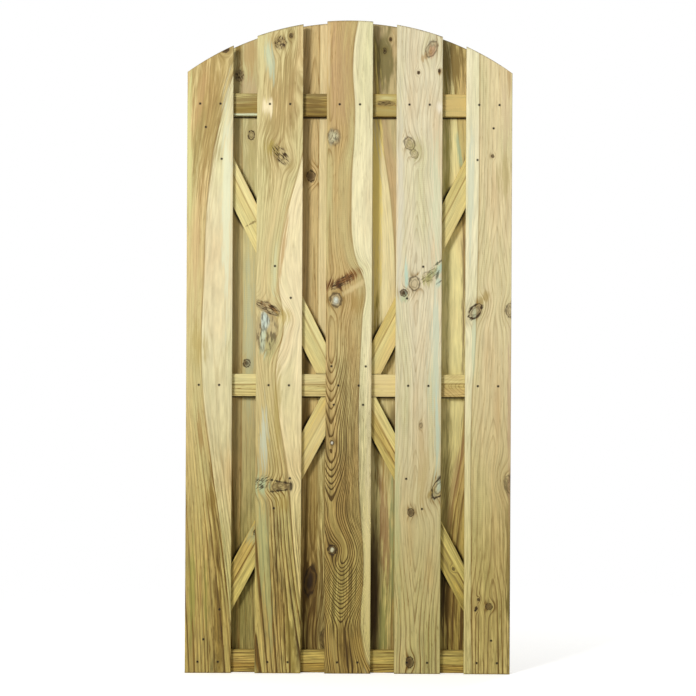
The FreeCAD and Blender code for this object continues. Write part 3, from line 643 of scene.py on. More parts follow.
def timber_block(name, low, high, along, sizes, marks=((), (), ())):
    """A closed bar between two corners, with grid lines on its faces and its four long edges rounded."""
    arris = sizes.arris
    lines = [end_lines(low[axis], high[axis], sizes.length_cell, marks[axis]) if axis == along
             else edge_lines(low[axis], high[axis], sizes.cell, marks[axis], arris) for axis in range(3)]
    counts = [len(line) for line in lines]
    quads = []
    for axis in range(3):
        u, v = (axis + 1) % 3, (axis + 2) % 3
        iu, iv = np.meshgrid(np.arange(counts[u] - 1), np.arange(counts[v] - 1), indexing="ij")
        for side in (0, counts[axis] - 1):
            corners = []
            for du, dv in ((0, 0), (1, 0), (1, 1), (0, 1)):
                index = [None] * 3
                index[axis] = np.full(iu.size, side)
                index[u], index[v] = (iu + du).ravel(), (iv + dv).ravel()
                corners.append((index[0] * counts[1] + index[1]) * counts[2] + index[2])
            quads.append(np.stack(corners if side else corners[::-1], axis=1))
    keys, faces = np.unique(np.concatenate(quads), return_inverse=True)
    steps = np.stack(np.unravel_index(keys, counts), axis=1)
    points = np.stack([lines[axis][steps[:, axis]] for axis in range(3)], axis=1)
    at_end = (steps[:, along] == 0) | (steps[:, along] == counts[along] - 1)

    # Points past both flat faces of an edge go to the edge's round
    sides = [(along + 1) % 3, (along + 2) % 3]
    middle = (np.array(low) + np.array(high)) / 2
    flat = (np.array(high) - np.array(low)) / 2 - arris
    past = np.maximum(np.abs(points - middle) - flat, 0)[:, sides]
    on_edge = (past > 1e-9).all(axis=1)
    corner = past[on_edge]
    rounded = corner * corner.max(axis=1, keepdims=True) / np.linalg.norm(corner, axis=1, keepdims=True)
    signs = np.sign(points - middle)[on_edge][:, sides]
    points[np.ix_(on_edge, sides)] = middle[sides] + signs * (flat[sides] + rounded)

    # The sides darken towards the cut ends, and an end's own face only at its rim
    at_side = ((steps == 0) | (steps == np.array(counts) - 1))[:, sides].any(axis=1)
    from_end = np.minimum(points[:, along] - low[along], high[along] - points[:, along])
    rim = at_side * np.clip(1 - from_end / END_RIM, 0, 1)

    mesh = bpy.data.meshes.new(name)
    mesh.from_pydata(points.tolist(), [], faces.reshape(-1, 4).tolist())
    for label, values in (("end_grain", at_end.astype(float)), ("end_rim", rim)):
        mesh.attributes.new(label, "FLOAT", "POINT").data.foreach_set("value", values)
    piece = bpy.data.objects.new(name, mesh)
    bpy.context.scene.collection.objects.link(piece)
    return piece


def nail_places(node):
    """The middle of each head in a group of nails, and 1 if they were driven from the front or -1 if not."""
    points = np.array([vertex.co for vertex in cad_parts[node].data.vertices])
    nails = {}
    for point in points:
        key = next((known for known in nails
                    if math.hypot(point[0] - known[0], point[2] - known[1]) < NAIL_SPREAD), None)
        nails.setdefault(key or (point[0], point[2]), []).append(point)
    corners = [(np.min(group, axis=0), np.max(group, axis=0)) for group in nails.values()]
    facing = 1 if points[:, 1].min() < -points[:, 1].max() else -1
    return [Vector(((low[0] + high[0]) / 2, low[1] if facing > 0 else high[1], (low[2] + high[2]) / 2))
            for low, high in corners], facing


def nails_in(low, high):
    """The heads of the nails whose places lie on a piece between two corners."""
    return [head for group in NAIL_GROUPS for head in nail_places(group)[0]
            if all(low[axis] < head[axis] < high[axis] for axis in range(3))]


def point_cloud(name, places):
    """An object that holds one loose point for each place."""
    mesh = bpy.data.meshes.new(name)
    mesh.from_pydata([tuple(place) for place in places], [], [])
    points = bpy.data.objects.new(name, mesh)
    bpy.context.scene.collection.objects.link(points)
    return points


def arch_of_gate():
    """The arch's radius, its centre's height and its ends' height, from the gate's top and outer corners."""
    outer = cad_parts[FRONT_BOARDS[0]].data.vertices
    corner = max(vertex.co.z for vertex in outer if vertex.co.x < CAD_LOW.x + SAME)
    rise = CAD_HIGH.z - corner
    radius = (CAD_HIGH.x ** 2 + rise ** 2) / (2 * rise)
    return radius, CAD_HIGH.z - radius, corner


def make_timber(node, along, inputs, block=None):
    """Makes one piece of timber in its node's place, dented over the nails that show on it."""
    sizes = bpy.context.scene.gate_timber
    low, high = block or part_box(node)
    heads = nails_in(low, high)
    marks = [sorted({round(head[axis], 5) for head in heads}) for axis in (0, 2)]
    piece = timber_block(f"{node}_sawn", low, high, along, sizes, (marks[0], (), marks[1]))
    dents = [(head.x, min((low.y, high.y), key=lambda face: abs(head.y - face)), head.z) for head in heads]
    nails = point_cloud(f"{node}_nail_places", dents)
    values = {"Saw Depth": sizes.saw_depth, "Saw Wave": sizes.saw_wave, "Dent Radius": sizes.dent_radius,
              "Dent Depth": sizes.dent_depth, "Nails": nails, "Seed": TIMBERS[node].seed,
              "Material": pine_material(node, low, high, along, inputs.get("Lean", 0.0))}
    run_tree(piece, bpy.data.node_groups.get("sawn_timber") or sawn_timber_tree(), values | inputs)
    bpy.data.objects.remove(nails)
    piece.data.polygons.foreach_set("use_smooth", [True] * len(piece.data.polygons))
    stand_in(piece, node)


def stand_in(piece, node):
    """Keeps the piece's sharp edges crisp and puts it in its node's place."""
    piece.data.set_sharp_from_angle(angle=SHARP)
    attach(piece, "root")
    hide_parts(node)


def make_board(node):
    """Makes an upright board under the arch."""
    radius, centre, corner = arch_of_gate()
    _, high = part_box(node)
    make_timber(node, 2, {"Arched": 1.0, "Arch Radius": radius, "Arch Centre": centre,
                                "Straight Height": corner - ARCH_RUN, "Full Height": high.z})


def brace_cut(node):
    """The left and right ends of a brace's level foot, and its lean."""
    low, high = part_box(node)
    points = [vertex.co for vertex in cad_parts[node].data.vertices]
    foot = [point.x for point in points if point.z < low.z + SAME]
    top = [point.x for point in points if point.z > high.z - SAME]
    lean = (sum(top) / len(top) - sum(foot) / len(foot)) / (high.z - low.z)
    return min(foot), max(foot), lean


def make_brace(node):
    """Makes a brace with level ends: a bar as wide as its level cut, leaned to reach from foot to top."""
    low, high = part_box(node)
    left, right, lean = brace_cut(node)
    corners = Vector((left, low.y, low.z)), Vector((right, high.y, high.z))
    make_timber(node, 2, {"Lean": lean, "Foot": low.z}, corners)


def corner_shade_marks(board):
    """Painted shade on a back board, in the sharp corners between the braces and the front boards."""
    number = BACK_BOARDS.index(board)
    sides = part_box(FRONT_BOARDS[number])[1].x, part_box(FRONT_BOARDS[number + 1])[0].x
    marks = []
    for brace in BRACES:
        low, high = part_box(brace)
        *edges, lean = brace_cut(brace)
        for side, edge, inwards in zip(sides, edges, (CORNER_SHADE_IN, -CORNER_SHADE_IN)):
            corner = low.z + (side - edge) / lean
            if low.z < corner < high.z:
                marks.append(Stain(side / MM + inwards, corner / MM + inwards / lean, *CORNER_SHADE, DARK,
                                   strength=0.95, slant=math.degrees(math.atan(lean)), shade_on_face=True))
    return marks


# Materials, with sizes in mm

# How far the patterns in the wood reach across, deep and along the grain
WANDER, BLOTCH, VEIN = (140, 140, 700), (46, 46, 340), (20, 20, 700)
STREAK, FIBRE, FLECK = (9, 9, 620), (3.4, 3.4, 55), (3.0, 3.0, 22)

SEED_STEP = 731.0                    # keeps the pieces' patterns well apart
SWERVE = 10.0                        # how far the grain wanders across
HEART_REACH = 70.0                   # how far from the heartwood's edge the grain follows it
RAGGED = 2.5                         # how far the rings and the heartwood's edge waver
SAW_RIDGE = 5.5                      # distance between the saw's ridges
DRIFT_RUN = 110                      # the grain drifts over this height above a flame
SOAK_RUN = 600                       # the coarse soaked grain fades in over this height
FOOT_SHADE_TOP, FOOT_SHADE_FULL = 1050, 150      # the painted shade of the foot starts and is full at these heights
STAIN_EDGE, STAIN_FULL = 5, 1.8      # a nail's stain starts and is full this far from the nail
SHADE_ON_FACE_DEPTH = 10.0               # painted shade on a face fades within this depth
RIGHT_THROUGH = 1e6                  # other marks, and knots, go through any board
RELIEF = 0.6                         # height of the fibres and ridges
RUST_SPECK, RUST_RELIEF = 1.5, 0.1   # width and height of the rust's specks
FLOOR_MOTTLE = 250                   # width of the floor's mottle
FADE_START, FADE_END = 700, 2400     # the floor fades out between these distances
NO_KNOT = 9.0                        # a place as many radii from a knot shows nothing of it


def drawn_noise(tree, place, size, seed, detail):
    """Noise whose lumps have that size across, deep and along the grain."""
    shares = tuple(1 / side for side in size)
    spread = add(tree, "ShaderNodeVectorMath", [place, shares], operation="MULTIPLY")
    return add(tree, "ShaderNodeTexNoise", {"Vector": spread, "W": seed, "Scale": 1.0, "Detail": detail},
               noise_dimensions="4D").outputs[0]


def soft_line(tree, value, middle, width):
    """1 where the value is at the middle, falling to 0 within the width on both sides."""
    off = add(tree, "ShaderNodeMath", [value, middle], operation="SUBTRACT")
    gap = add(tree, "ShaderNodeMath", [off], operation="ABSOLUTE")
    return add(tree, "ShaderNodeMapRange", {"Value": gap, "From Min": width, "From Max": 0.0},
               interpolation_type="SMOOTHSTEP")


def knot_group():
    """A branch end: where a point lies in it, how it pushes the grain and lifts the rings, and its look."""
    vectors = ("Place", "Own Look", "Spot", "Look")
    floats = ("X", "Z", "Radius", "Stretch", "Slant", "Bend", "Lift", "Near", "Push", "Warp")
    tree, given, result = node_group(
        "ShaderNodeTree", "knot", dict.fromkeys(vectors, "Vector") | dict.fromkeys(floats, "Float"),
        {"Spot": "Vector", "Look": "Vector", "Near": "Float", "Push": "Float", "Warp": "Float"})
    centre = add(tree, "ShaderNodeCombineXYZ", {"X": given["X"], "Z": given["Z"]})
    offset = add(tree, "ShaderNodeVectorMath", [given["Place"], centre], operation="SUBTRACT")
    turned = add(tree, "ShaderNodeVectorRotate", {"Vector": offset, "Angle": given["Slant"]},
                 rotation_type="Y_AXIS")
    long_radius = add(tree, "ShaderNodeMath", [given["Radius"], given["Stretch"]], operation="MULTIPLY")
    reach = add(tree, "ShaderNodeCombineXYZ", {"X": given["Radius"], "Y": RIGHT_THROUGH, "Z": long_radius})
    own_spot = add(tree, "ShaderNodeVectorMath", [turned, reach], operation="DIVIDE")
    radii = add(tree, "ShaderNodeVectorMath", [own_spot], operation="LENGTH").outputs["Value"]

    # The grain swerves round the knot, less and less with distance
    squared = add(tree, "ShaderNodeMath", [radii, radii], operation="MULTIPLY")
    falling = add(tree, "ShaderNodeMath", [squared, -0.2], operation="MULTIPLY")
    nearness = add(tree, "ShaderNodeMath", [falling], operation="EXPONENT")
    sideways = add(tree, "ShaderNodeSeparateXYZ", [offset]).outputs["X"]
    shove = add(tree, "ShaderNodeMath", [sideways, nearness], operation="MULTIPLY")
    bent = add(tree, "ShaderNodeMath", [shove, given["Bend"]], operation="MULTIPLY")
    pushed = add(tree, "ShaderNodeMath", [given["Push"], bent], operation="SUBTRACT")
    warped = add(tree, "ShaderNodeMath", [nearness, given["Lift"], given["Warp"]], operation="MULTIPLY_ADD")

    # The nearest knot of the board is the one that a point belongs to
    nearer = add(tree, "ShaderNodeMath", [radii, given["Near"]], operation="LESS_THAN")
    nearest = add(tree, "ShaderNodeMath", [radii, given["Near"]], operation="MINIMUM")
    made = {"Push": pushed, "Warp": warped, "Near": nearest}
    for label, own in (("Spot", own_spot), ("Look", given["Own Look"])):
        made[label] = add(tree, "ShaderNodeMix", {"Factor": nearer, "A": given[label], "B": own},
                          data_type="VECTOR")
    hand_out(tree, made, result)
    return tree


def stain_group(name, blend):
    """A soft ragged patch that covers the wood with another colour, or darkens it, as its blend says."""
    tree, given, result = node_group(
        "ShaderNodeTree", name,
        {"Place": "Vector", "Centre": "Vector", "Reach": "Vector", "Colour": "Color", "Tint": "Color",
         "Slant": "Float", "Strength": "Float", "Ragged": "Float"},
        {"Colour": "Color"})
    offset = add(tree, "ShaderNodeVectorMath", [given["Place"], given["Centre"]], operation="SUBTRACT")
    turned = add(tree, "ShaderNodeVectorRotate", {"Vector": offset, "Angle": given["Slant"]},
                 rotation_type="Y_AXIS")
    share = add(tree, "ShaderNodeVectorMath", [turned, given["Reach"]], operation="DIVIDE")
    length = add(tree, "ShaderNodeVectorMath", [share], operation="LENGTH").outputs["Value"]
    ragged = add(tree, "ShaderNodeMath", [length, given["Ragged"]], operation="ADD")
    cover = add(tree, "ShaderNodeMapRange", {"Value": ragged, "From Min": 1.2, "From Max": 0.3,
                                             "To Max": given["Strength"]}, interpolation_type="SMOOTHSTEP")
    mixed = add(tree, "ShaderNodeMix", {"Factor": cover, "A": given["Colour"], "B": given["Tint"]},
                data_type="RGBA", blend_type=blend)
    hand_out(tree, {"Colour": mixed}, result)
    return tree


def knot_marks(tree, spot, near, look, seed):
    """How far a point is inside a knot, and how dark its marks are: an uneven rim, a ring and torn bark."""
    shade, rim, rough = look
    burr = drawn_noise(tree, spot, (0.5, 1.0, 0.6), seed, 2.5)
    edge = add(tree, "ShaderNodeMath", [burr, 0.6, near], operation="MULTIPLY_ADD")
    inside = add(tree, "ShaderNodeMapRange", {"Value": edge, "From Min": 1.4, "From Max": 1.2},
                 interpolation_type="SMOOTHSTEP")
    heading = add(tree, "ShaderNodeVectorMath", [spot], operation="NORMALIZE")
    sweep = drawn_noise(tree, heading, (0.8, 0.8, 0.8), seed, 1.0)
    width = add(tree, "ShaderNodeMapRange", {"Value": sweep, "From Min": 0.38, "From Max": 0.6, "To Min": 0.1,
                                             "To Max": 0.42})
    inner = add(tree, "ShaderNodeMath", [soft_line(tree, edge, 0.85, 0.17), 0.6], operation="MULTIPLY")
    rings = add(tree, "ShaderNodeMath", [soft_line(tree, edge, 1.26, width), inner], operation="MAXIMUM")
    ringed = add(tree, "ShaderNodeMath", [rings, rim], operation="MULTIPLY")

    # Torn bark lies in strokes along the knot and thins out past its edge, and dark knots have a black core
    strokes = drawn_noise(tree, spot, (0.2, 1.0, 0.55), seed, 3.0)
    bark = add(tree, "ShaderNodeMapRange", {"Value": strokes, "From Min": 0.46, "From Max": 0.58})
    cover = add(tree, "ShaderNodeMapRange", {"Value": edge, "From Min": 1.8, "From Max": 1.1},
                interpolation_type="SMOOTHSTEP")
    torn = add(tree, "ShaderNodeMath", [bark, cover], operation="MULTIPLY")
    roughened = add(tree, "ShaderNodeMath", [torn, rough], operation="MULTIPLY")
    dark_core = add(tree, "ShaderNodeMapRange", {"Value": shade, "From Min": 0.6, "From Max": 1.0})
    core = add(tree, "ShaderNodeMapRange", {"Value": edge, "From Min": 1.1, "From Max": 0.6,
                                            "To Max": dark_core}, interpolation_type="SMOOTHSTEP")
    outlined = add(tree, "ShaderNodeMath", [roughened, ringed], operation="MAXIMUM")
    return inside, add(tree, "ShaderNodeMath", [outlined, core], operation="MAXIMUM")


def pine_group(finish):
    """Pine as a solid: rings round the pith, sapwood and heartwood, fibres, saw marks and knotwood."""
    floats = ("Middle", "Flow", "Heart Gap", "Pith Across", "Pith Depth", "Ring", "Narrowing", "Taper",
              "Contrast", "Streaks", "Soak", "Seed", "Near", "Push", "Warp")
    tree, given, result = node_group(
        "ShaderNodeTree", "treated_pine",
        {"Place": "Vector", "Spot": "Vector", "Look": "Vector", "Sapwood": "Color", "Heartwood": "Color"}
        | dict.fromkeys(floats, "Float"),
        {"Colour": "Color", "Marks": "Float", "Relief": "Float", "Ragged": "Float", "Late": "Float"})
    across, deep, up = add(tree, "ShaderNodeSeparateXYZ", [given["Place"]]).outputs
    seed = add(tree, "ShaderNodeMath", [given["Seed"], SEED_STEP], operation="MULTIPLY")

    # The grain wanders a little of itself, follows the heartwood's edge nearby and goes round the knots
    wander = drawn_noise(tree, given["Place"], WANDER, seed, 1.0)
    beside = add(tree, "ShaderNodeMath", [given["Heart Gap"]], operation="ABSOLUTE")
    follow = add(tree, "ShaderNodeMapRange", {"Value": beside, "From Max": HEART_REACH, "To Min": 1.0,
                                              "To Max": 0.3}, interpolation_type="SMOOTHSTEP")
    flow = add(tree, "ShaderNodeMath", [given["Flow"], follow, given["Middle"]], operation="MULTIPLY_ADD")
    straight = add(tree, "ShaderNodeMath", [across, flow], operation="SUBTRACT")
    pushed = add(tree, "ShaderNodeMath", [straight, given["Push"]], operation="ADD")
    grain_across = add(tree, "ShaderNodeMath", [wander, SWERVE, pushed], operation="MULTIPLY_ADD")
    grain = add(tree, "ShaderNodeCombineXYZ", {"X": grain_across, "Y": deep, "Z": up})

    # Patterns along the grain; real fibres are finer, and these are drawn as coarse as they need to show
    blotch = drawn_noise(tree, grain, BLOTCH, seed, 2.0)
    streak = drawn_noise(tree, grain, STREAK, seed, 3.0)
    fibre = drawn_noise(tree, grain, FIBRE, seed, 2.5)
    fleck = drawn_noise(tree, grain, FLECK, seed, 1.0)
    vein = drawn_noise(tree, grain, VEIN, seed, 2.0)

    # The rings, wider and narrower by turns and narrower outwards, each darkening slowly and ending sharply
    from_pith = add(tree, "ShaderNodeMath", [grain_across, given["Pith Across"]], operation="SUBTRACT")
    behind = add(tree, "ShaderNodeMath", [deep, given["Pith Depth"]], operation="SUBTRACT")
    spoke = add(tree, "ShaderNodeCombineXYZ", {"X": from_pith, "Y": behind})
    radius = add(tree, "ShaderNodeVectorMath", [spoke], operation="LENGTH").outputs["Value"]
    crowding = add(tree, "ShaderNodeMath", [radius, given["Narrowing"], 1.0], operation="MULTIPLY_ADD")
    grown = add(tree, "ShaderNodeMath", [radius, crowding], operation="MULTIPLY")
    tapered = add(tree, "ShaderNodeMath", [up, given["Taper"], grown], operation="MULTIPLY_ADD")
    lifted = add(tree, "ShaderNodeMath", [tapered, given["Warp"]], operation="ADD")
    uneven = add(tree, "ShaderNodeMath", [streak, RAGGED, lifted], operation="MULTIPLY_ADD")
    rings = add(tree, "ShaderNodeMath", [uneven, given["Ring"]], operation="DIVIDE")
    slow_rings = add(tree, "ShaderNodeMath", [rings, 0.3], operation="MULTIPLY")
    season = add(tree, "ShaderNodeTexNoise", {"W": slow_rings, "Scale": 1.0, "Detail": 1.0},
                 noise_dimensions="1D").outputs[0]
    phase = add(tree, "ShaderNodeMath", [season, 2.0, rings], operation="MULTIPLY_ADD")
    year = add(tree, "ShaderNodeMath", [phase], operation="FRACT")
    darkening = add(tree, "ShaderNodeMapRange", {"Value": year, "From Min": 0.35, "From Max": 0.9},
                    interpolation_type="SMOOTHSTEP")
    ending = add(tree, "ShaderNodeMapRange", {"Value": year, "From Min": 0.9, "From Max": 1.0, "To Min": 1.0,
                                              "To Max": 0.0}, interpolation_type="SMOOTHSTEP")
    narrowed = add(tree, "ShaderNodeMath", [darkening, 2.2], operation="POWER")
    late = add(tree, "ShaderNodeMath", [narrowed, ending], operation="MULTIPLY")

    # Sapwood and heartwood, with a dark line where they meet
    rough = add(tree, "ShaderNodeMath", [streak, 0.5], operation="SUBTRACT")
    gap = add(tree, "ShaderNodeMath", [rough, RAGGED, given["Heart Gap"]], operation="MULTIPLY_ADD")
    heart = add(tree, "ShaderNodeMapRange", {"Value": gap, "From Min": -2.0, "From Max": 3.0},
                interpolation_type="SMOOTHSTEP")
    ground = add(tree, "ShaderNodeMix", {"Factor": heart, "A": given["Sapwood"], "B": given["Heartwood"]},
                 data_type="RGBA")
    meeting = soft_line(tree, gap, 0.5, 3.5)

    # Blotches of treatment green where the noise is high, and of warm tan where it is low
    for start, full, tint in ((0.48, 0.72, finish.treatment), (0.46, 0.25, finish.warmth)):
        share = add(tree, "ShaderNodeMapRange", {"Value": blotch, "From Min": start, "From Max": full,
                                                 "To Max": 0.5})
        ground = add(tree, "ShaderNodeMix", {"Factor": share, "A": ground, "B": (*tint, 1.0)},
                     data_type="RGBA")

    # Latewood lines come and go, faint in sapwood and darker by a knot and at the foot, with veins and flecks
    look = add(tree, "ShaderNodeSeparateXYZ", [given["Look"]]).outputs
    halo = add(tree, "ShaderNodeMapRange", {"Value": given["Near"], "From Min": 3.2, "From Max": 1.0},
               interpolation_type="SMOOTHSTEP")
    halo_dark = add(tree, "ShaderNodeMath", [halo, look[1]], operation="MULTIPLY")
    coarse = add(tree, "ShaderNodeMath", [given["Soak"], given["Contrast"]], operation="MULTIPLY")
    dry = add(tree, "ShaderNodeMath", [given["Contrast"], 0.55], operation="MULTIPLY")
    deepened = add(tree, "ShaderNodeMath", [coarse, 1.9, dry], operation="MULTIPLY_ADD")
    contrast = add(tree, "ShaderNodeMath", [halo_dark, 0.35, deepened], operation="MULTIPLY_ADD")
    swing = add(tree, "ShaderNodeMapRange", {"Value": vein, "From Min": 0.35, "From Max": 0.65,
                                             "To Min": -0.5, "To Max": 0.4})
    come_and_go = add(tree, "ShaderNodeMath", [swing, given["Streaks"], 1.0], operation="MULTIPLY_ADD")
    streaked = add(tree, "ShaderNodeMath", [coarse, given["Streaks"]], operation="MULTIPLY")
    faint = add(tree, "ShaderNodeMapRange", {"Value": heart, "To Min": 0.4, "To Max": 1.0})
    shown_share = add(tree, "ShaderNodeMath", [come_and_go, faint], operation="MULTIPLY")
    strength = add(tree, "ShaderNodeMath", [shown_share, contrast], operation="MULTIPLY")
    ringed = add(tree, "ShaderNodeMath", [late, strength], operation="MULTIPLY")
    haloed = add(tree, "ShaderNodeMath", [halo_dark, 0.15, ringed], operation="MULTIPLY_ADD")
    lined = add(tree, "ShaderNodeMath", [meeting, 0.55, haloed], operation="MULTIPLY_ADD")
    veins = soft_line(tree, vein, 0.5, 0.018)
    vein_share = add(tree, "ShaderNodeMath", [streaked, 0.7, 0.18], operation="MULTIPLY_ADD")
    veined = add(tree, "ShaderNodeMath", [veins, vein_share, lined], operation="MULTIPLY_ADD")
    fleck_share = add(tree, "ShaderNodeMapRange", {"Value": strength, "From Max": 0.5, "To Max": 0.45})
    flecks = add(tree, "ShaderNodeMapRange", {"Value": fleck, "From Min": 0.6, "From Max": 0.75,
                                              "To Max": fleck_share})
    dark_share = add(tree, "ShaderNodeMath", [veined, flecks], operation="ADD", use_clamp=True)
    latewood = add(tree, "ShaderNodeMix", {"Factor": coarse, "A": (*finish.latewood, 1.0),
                                           "B": (*finish.wet_latewood, 1.0)}, data_type="RGBA")
    grained = add(tree, "ShaderNodeMix", {"Factor": dark_share, "A": ground, "B": latewood}, data_type="RGBA")
    frayed = add(tree, "ShaderNodeMath", [fibre, 0.5], operation="SUBTRACT")
    unevenness = add(tree, "ShaderNodeMath", [rough, frayed], operation="ADD")
    fibrous = add(tree, "ShaderNodeMath", [frayed, 0.8, unevenness], operation="MULTIPLY_ADD")
    light_share = add(tree, "ShaderNodeMath", [streaked, 1.4, 0.38], operation="MULTIPLY_ADD")
    light = add(tree, "ShaderNodeMath", [fibrous, light_share, 1.0], operation="MULTIPLY_ADD")
    lit = add(tree, "ShaderNodeVectorMath", {"Vector": grained, "Scale": light}, operation="SCALE")

    # Knotwood
    inside, marks = knot_marks(tree, given["Spot"], given["Near"], look, seed)
    cover = add(tree, "ShaderNodeMath", [look[0], 0.4, 0.4], operation="MULTIPLY_ADD")
    knot_share = add(tree, "ShaderNodeMath", [inside, cover], operation="MULTIPLY")
    knotwood = add(tree, "ShaderNodeMix", {"Factor": look[0], "A": (*finish.knot_pale, 1.0),
                                           "B": (*finish.knot_dark, 1.0)}, data_type="RGBA")
    colour = add(tree, "ShaderNodeMix", {"Factor": knot_share, "A": lit, "B": knotwood}, data_type="RGBA")

    # The relief: latewood stands, fibres tear, and the saw leaves ridges across in patches
    saw_turns = add(tree, "ShaderNodeMath", [up, 2 * math.pi / SAW_RIDGE], operation="MULTIPLY")
    saw_swing = add(tree, "ShaderNodeMath", [wander, 30.0, saw_turns], operation="MULTIPLY_ADD")
    saw = add(tree, "ShaderNodeMath", [saw_swing], operation="SINE")
    patch = add(tree, "ShaderNodeMapRange", {"Value": blotch, "From Min": 0.5, "From Max": 0.65,
                                             "To Max": 0.25})
    saw_marks = add(tree, "ShaderNodeMath", [saw, patch], operation="MULTIPLY")
    torn = add(tree, "ShaderNodeMath", [fibre, 0.8, saw_marks], operation="MULTIPLY_ADD")
    standing = add(tree, "ShaderNodeMath", [late, 0.3, torn], operation="MULTIPLY_ADD")
    relief = add(tree, "ShaderNodeMath", [marks, -0.8, standing], operation="MULTIPLY_ADD")
    ragged = add(tree, "ShaderNodeMath", [unevenness, 2.4], operation="MULTIPLY")
    made = {"Colour": colour, "Marks": marks, "Relief": relief, "Ragged": ragged, "Late": late}
    hand_out(tree, made, result)
    return tree


def heart_edge(tree, timber, up):
    """How far across the heartwood's edge lies at each height, in mm, from a curve."""
    full, span = CAD_HIGH.z / MM, CAD_HIGH.x / MM
    height = add(tree, "ShaderNodeMath", [up, full], operation="DIVIDE")
    bend = add(tree, "ShaderNodeFloatCurve", {"Value": height})
    places = [(edge_up / full, edge_across / (2 * span) + 0.5) for edge_up, edge_across in timber.edge]
    curve = bend.mapping.curves[0]
    for point, place in zip(curve.points, (places[0], places[-1])):
        point.location = place
    for place in places[1:-1]:
        curve.points.new(*place)
    bend.mapping.update()
    return add(tree, "ShaderNodeMath", [bend, 2 * span, -span], operation="MULTIPLY_ADD")


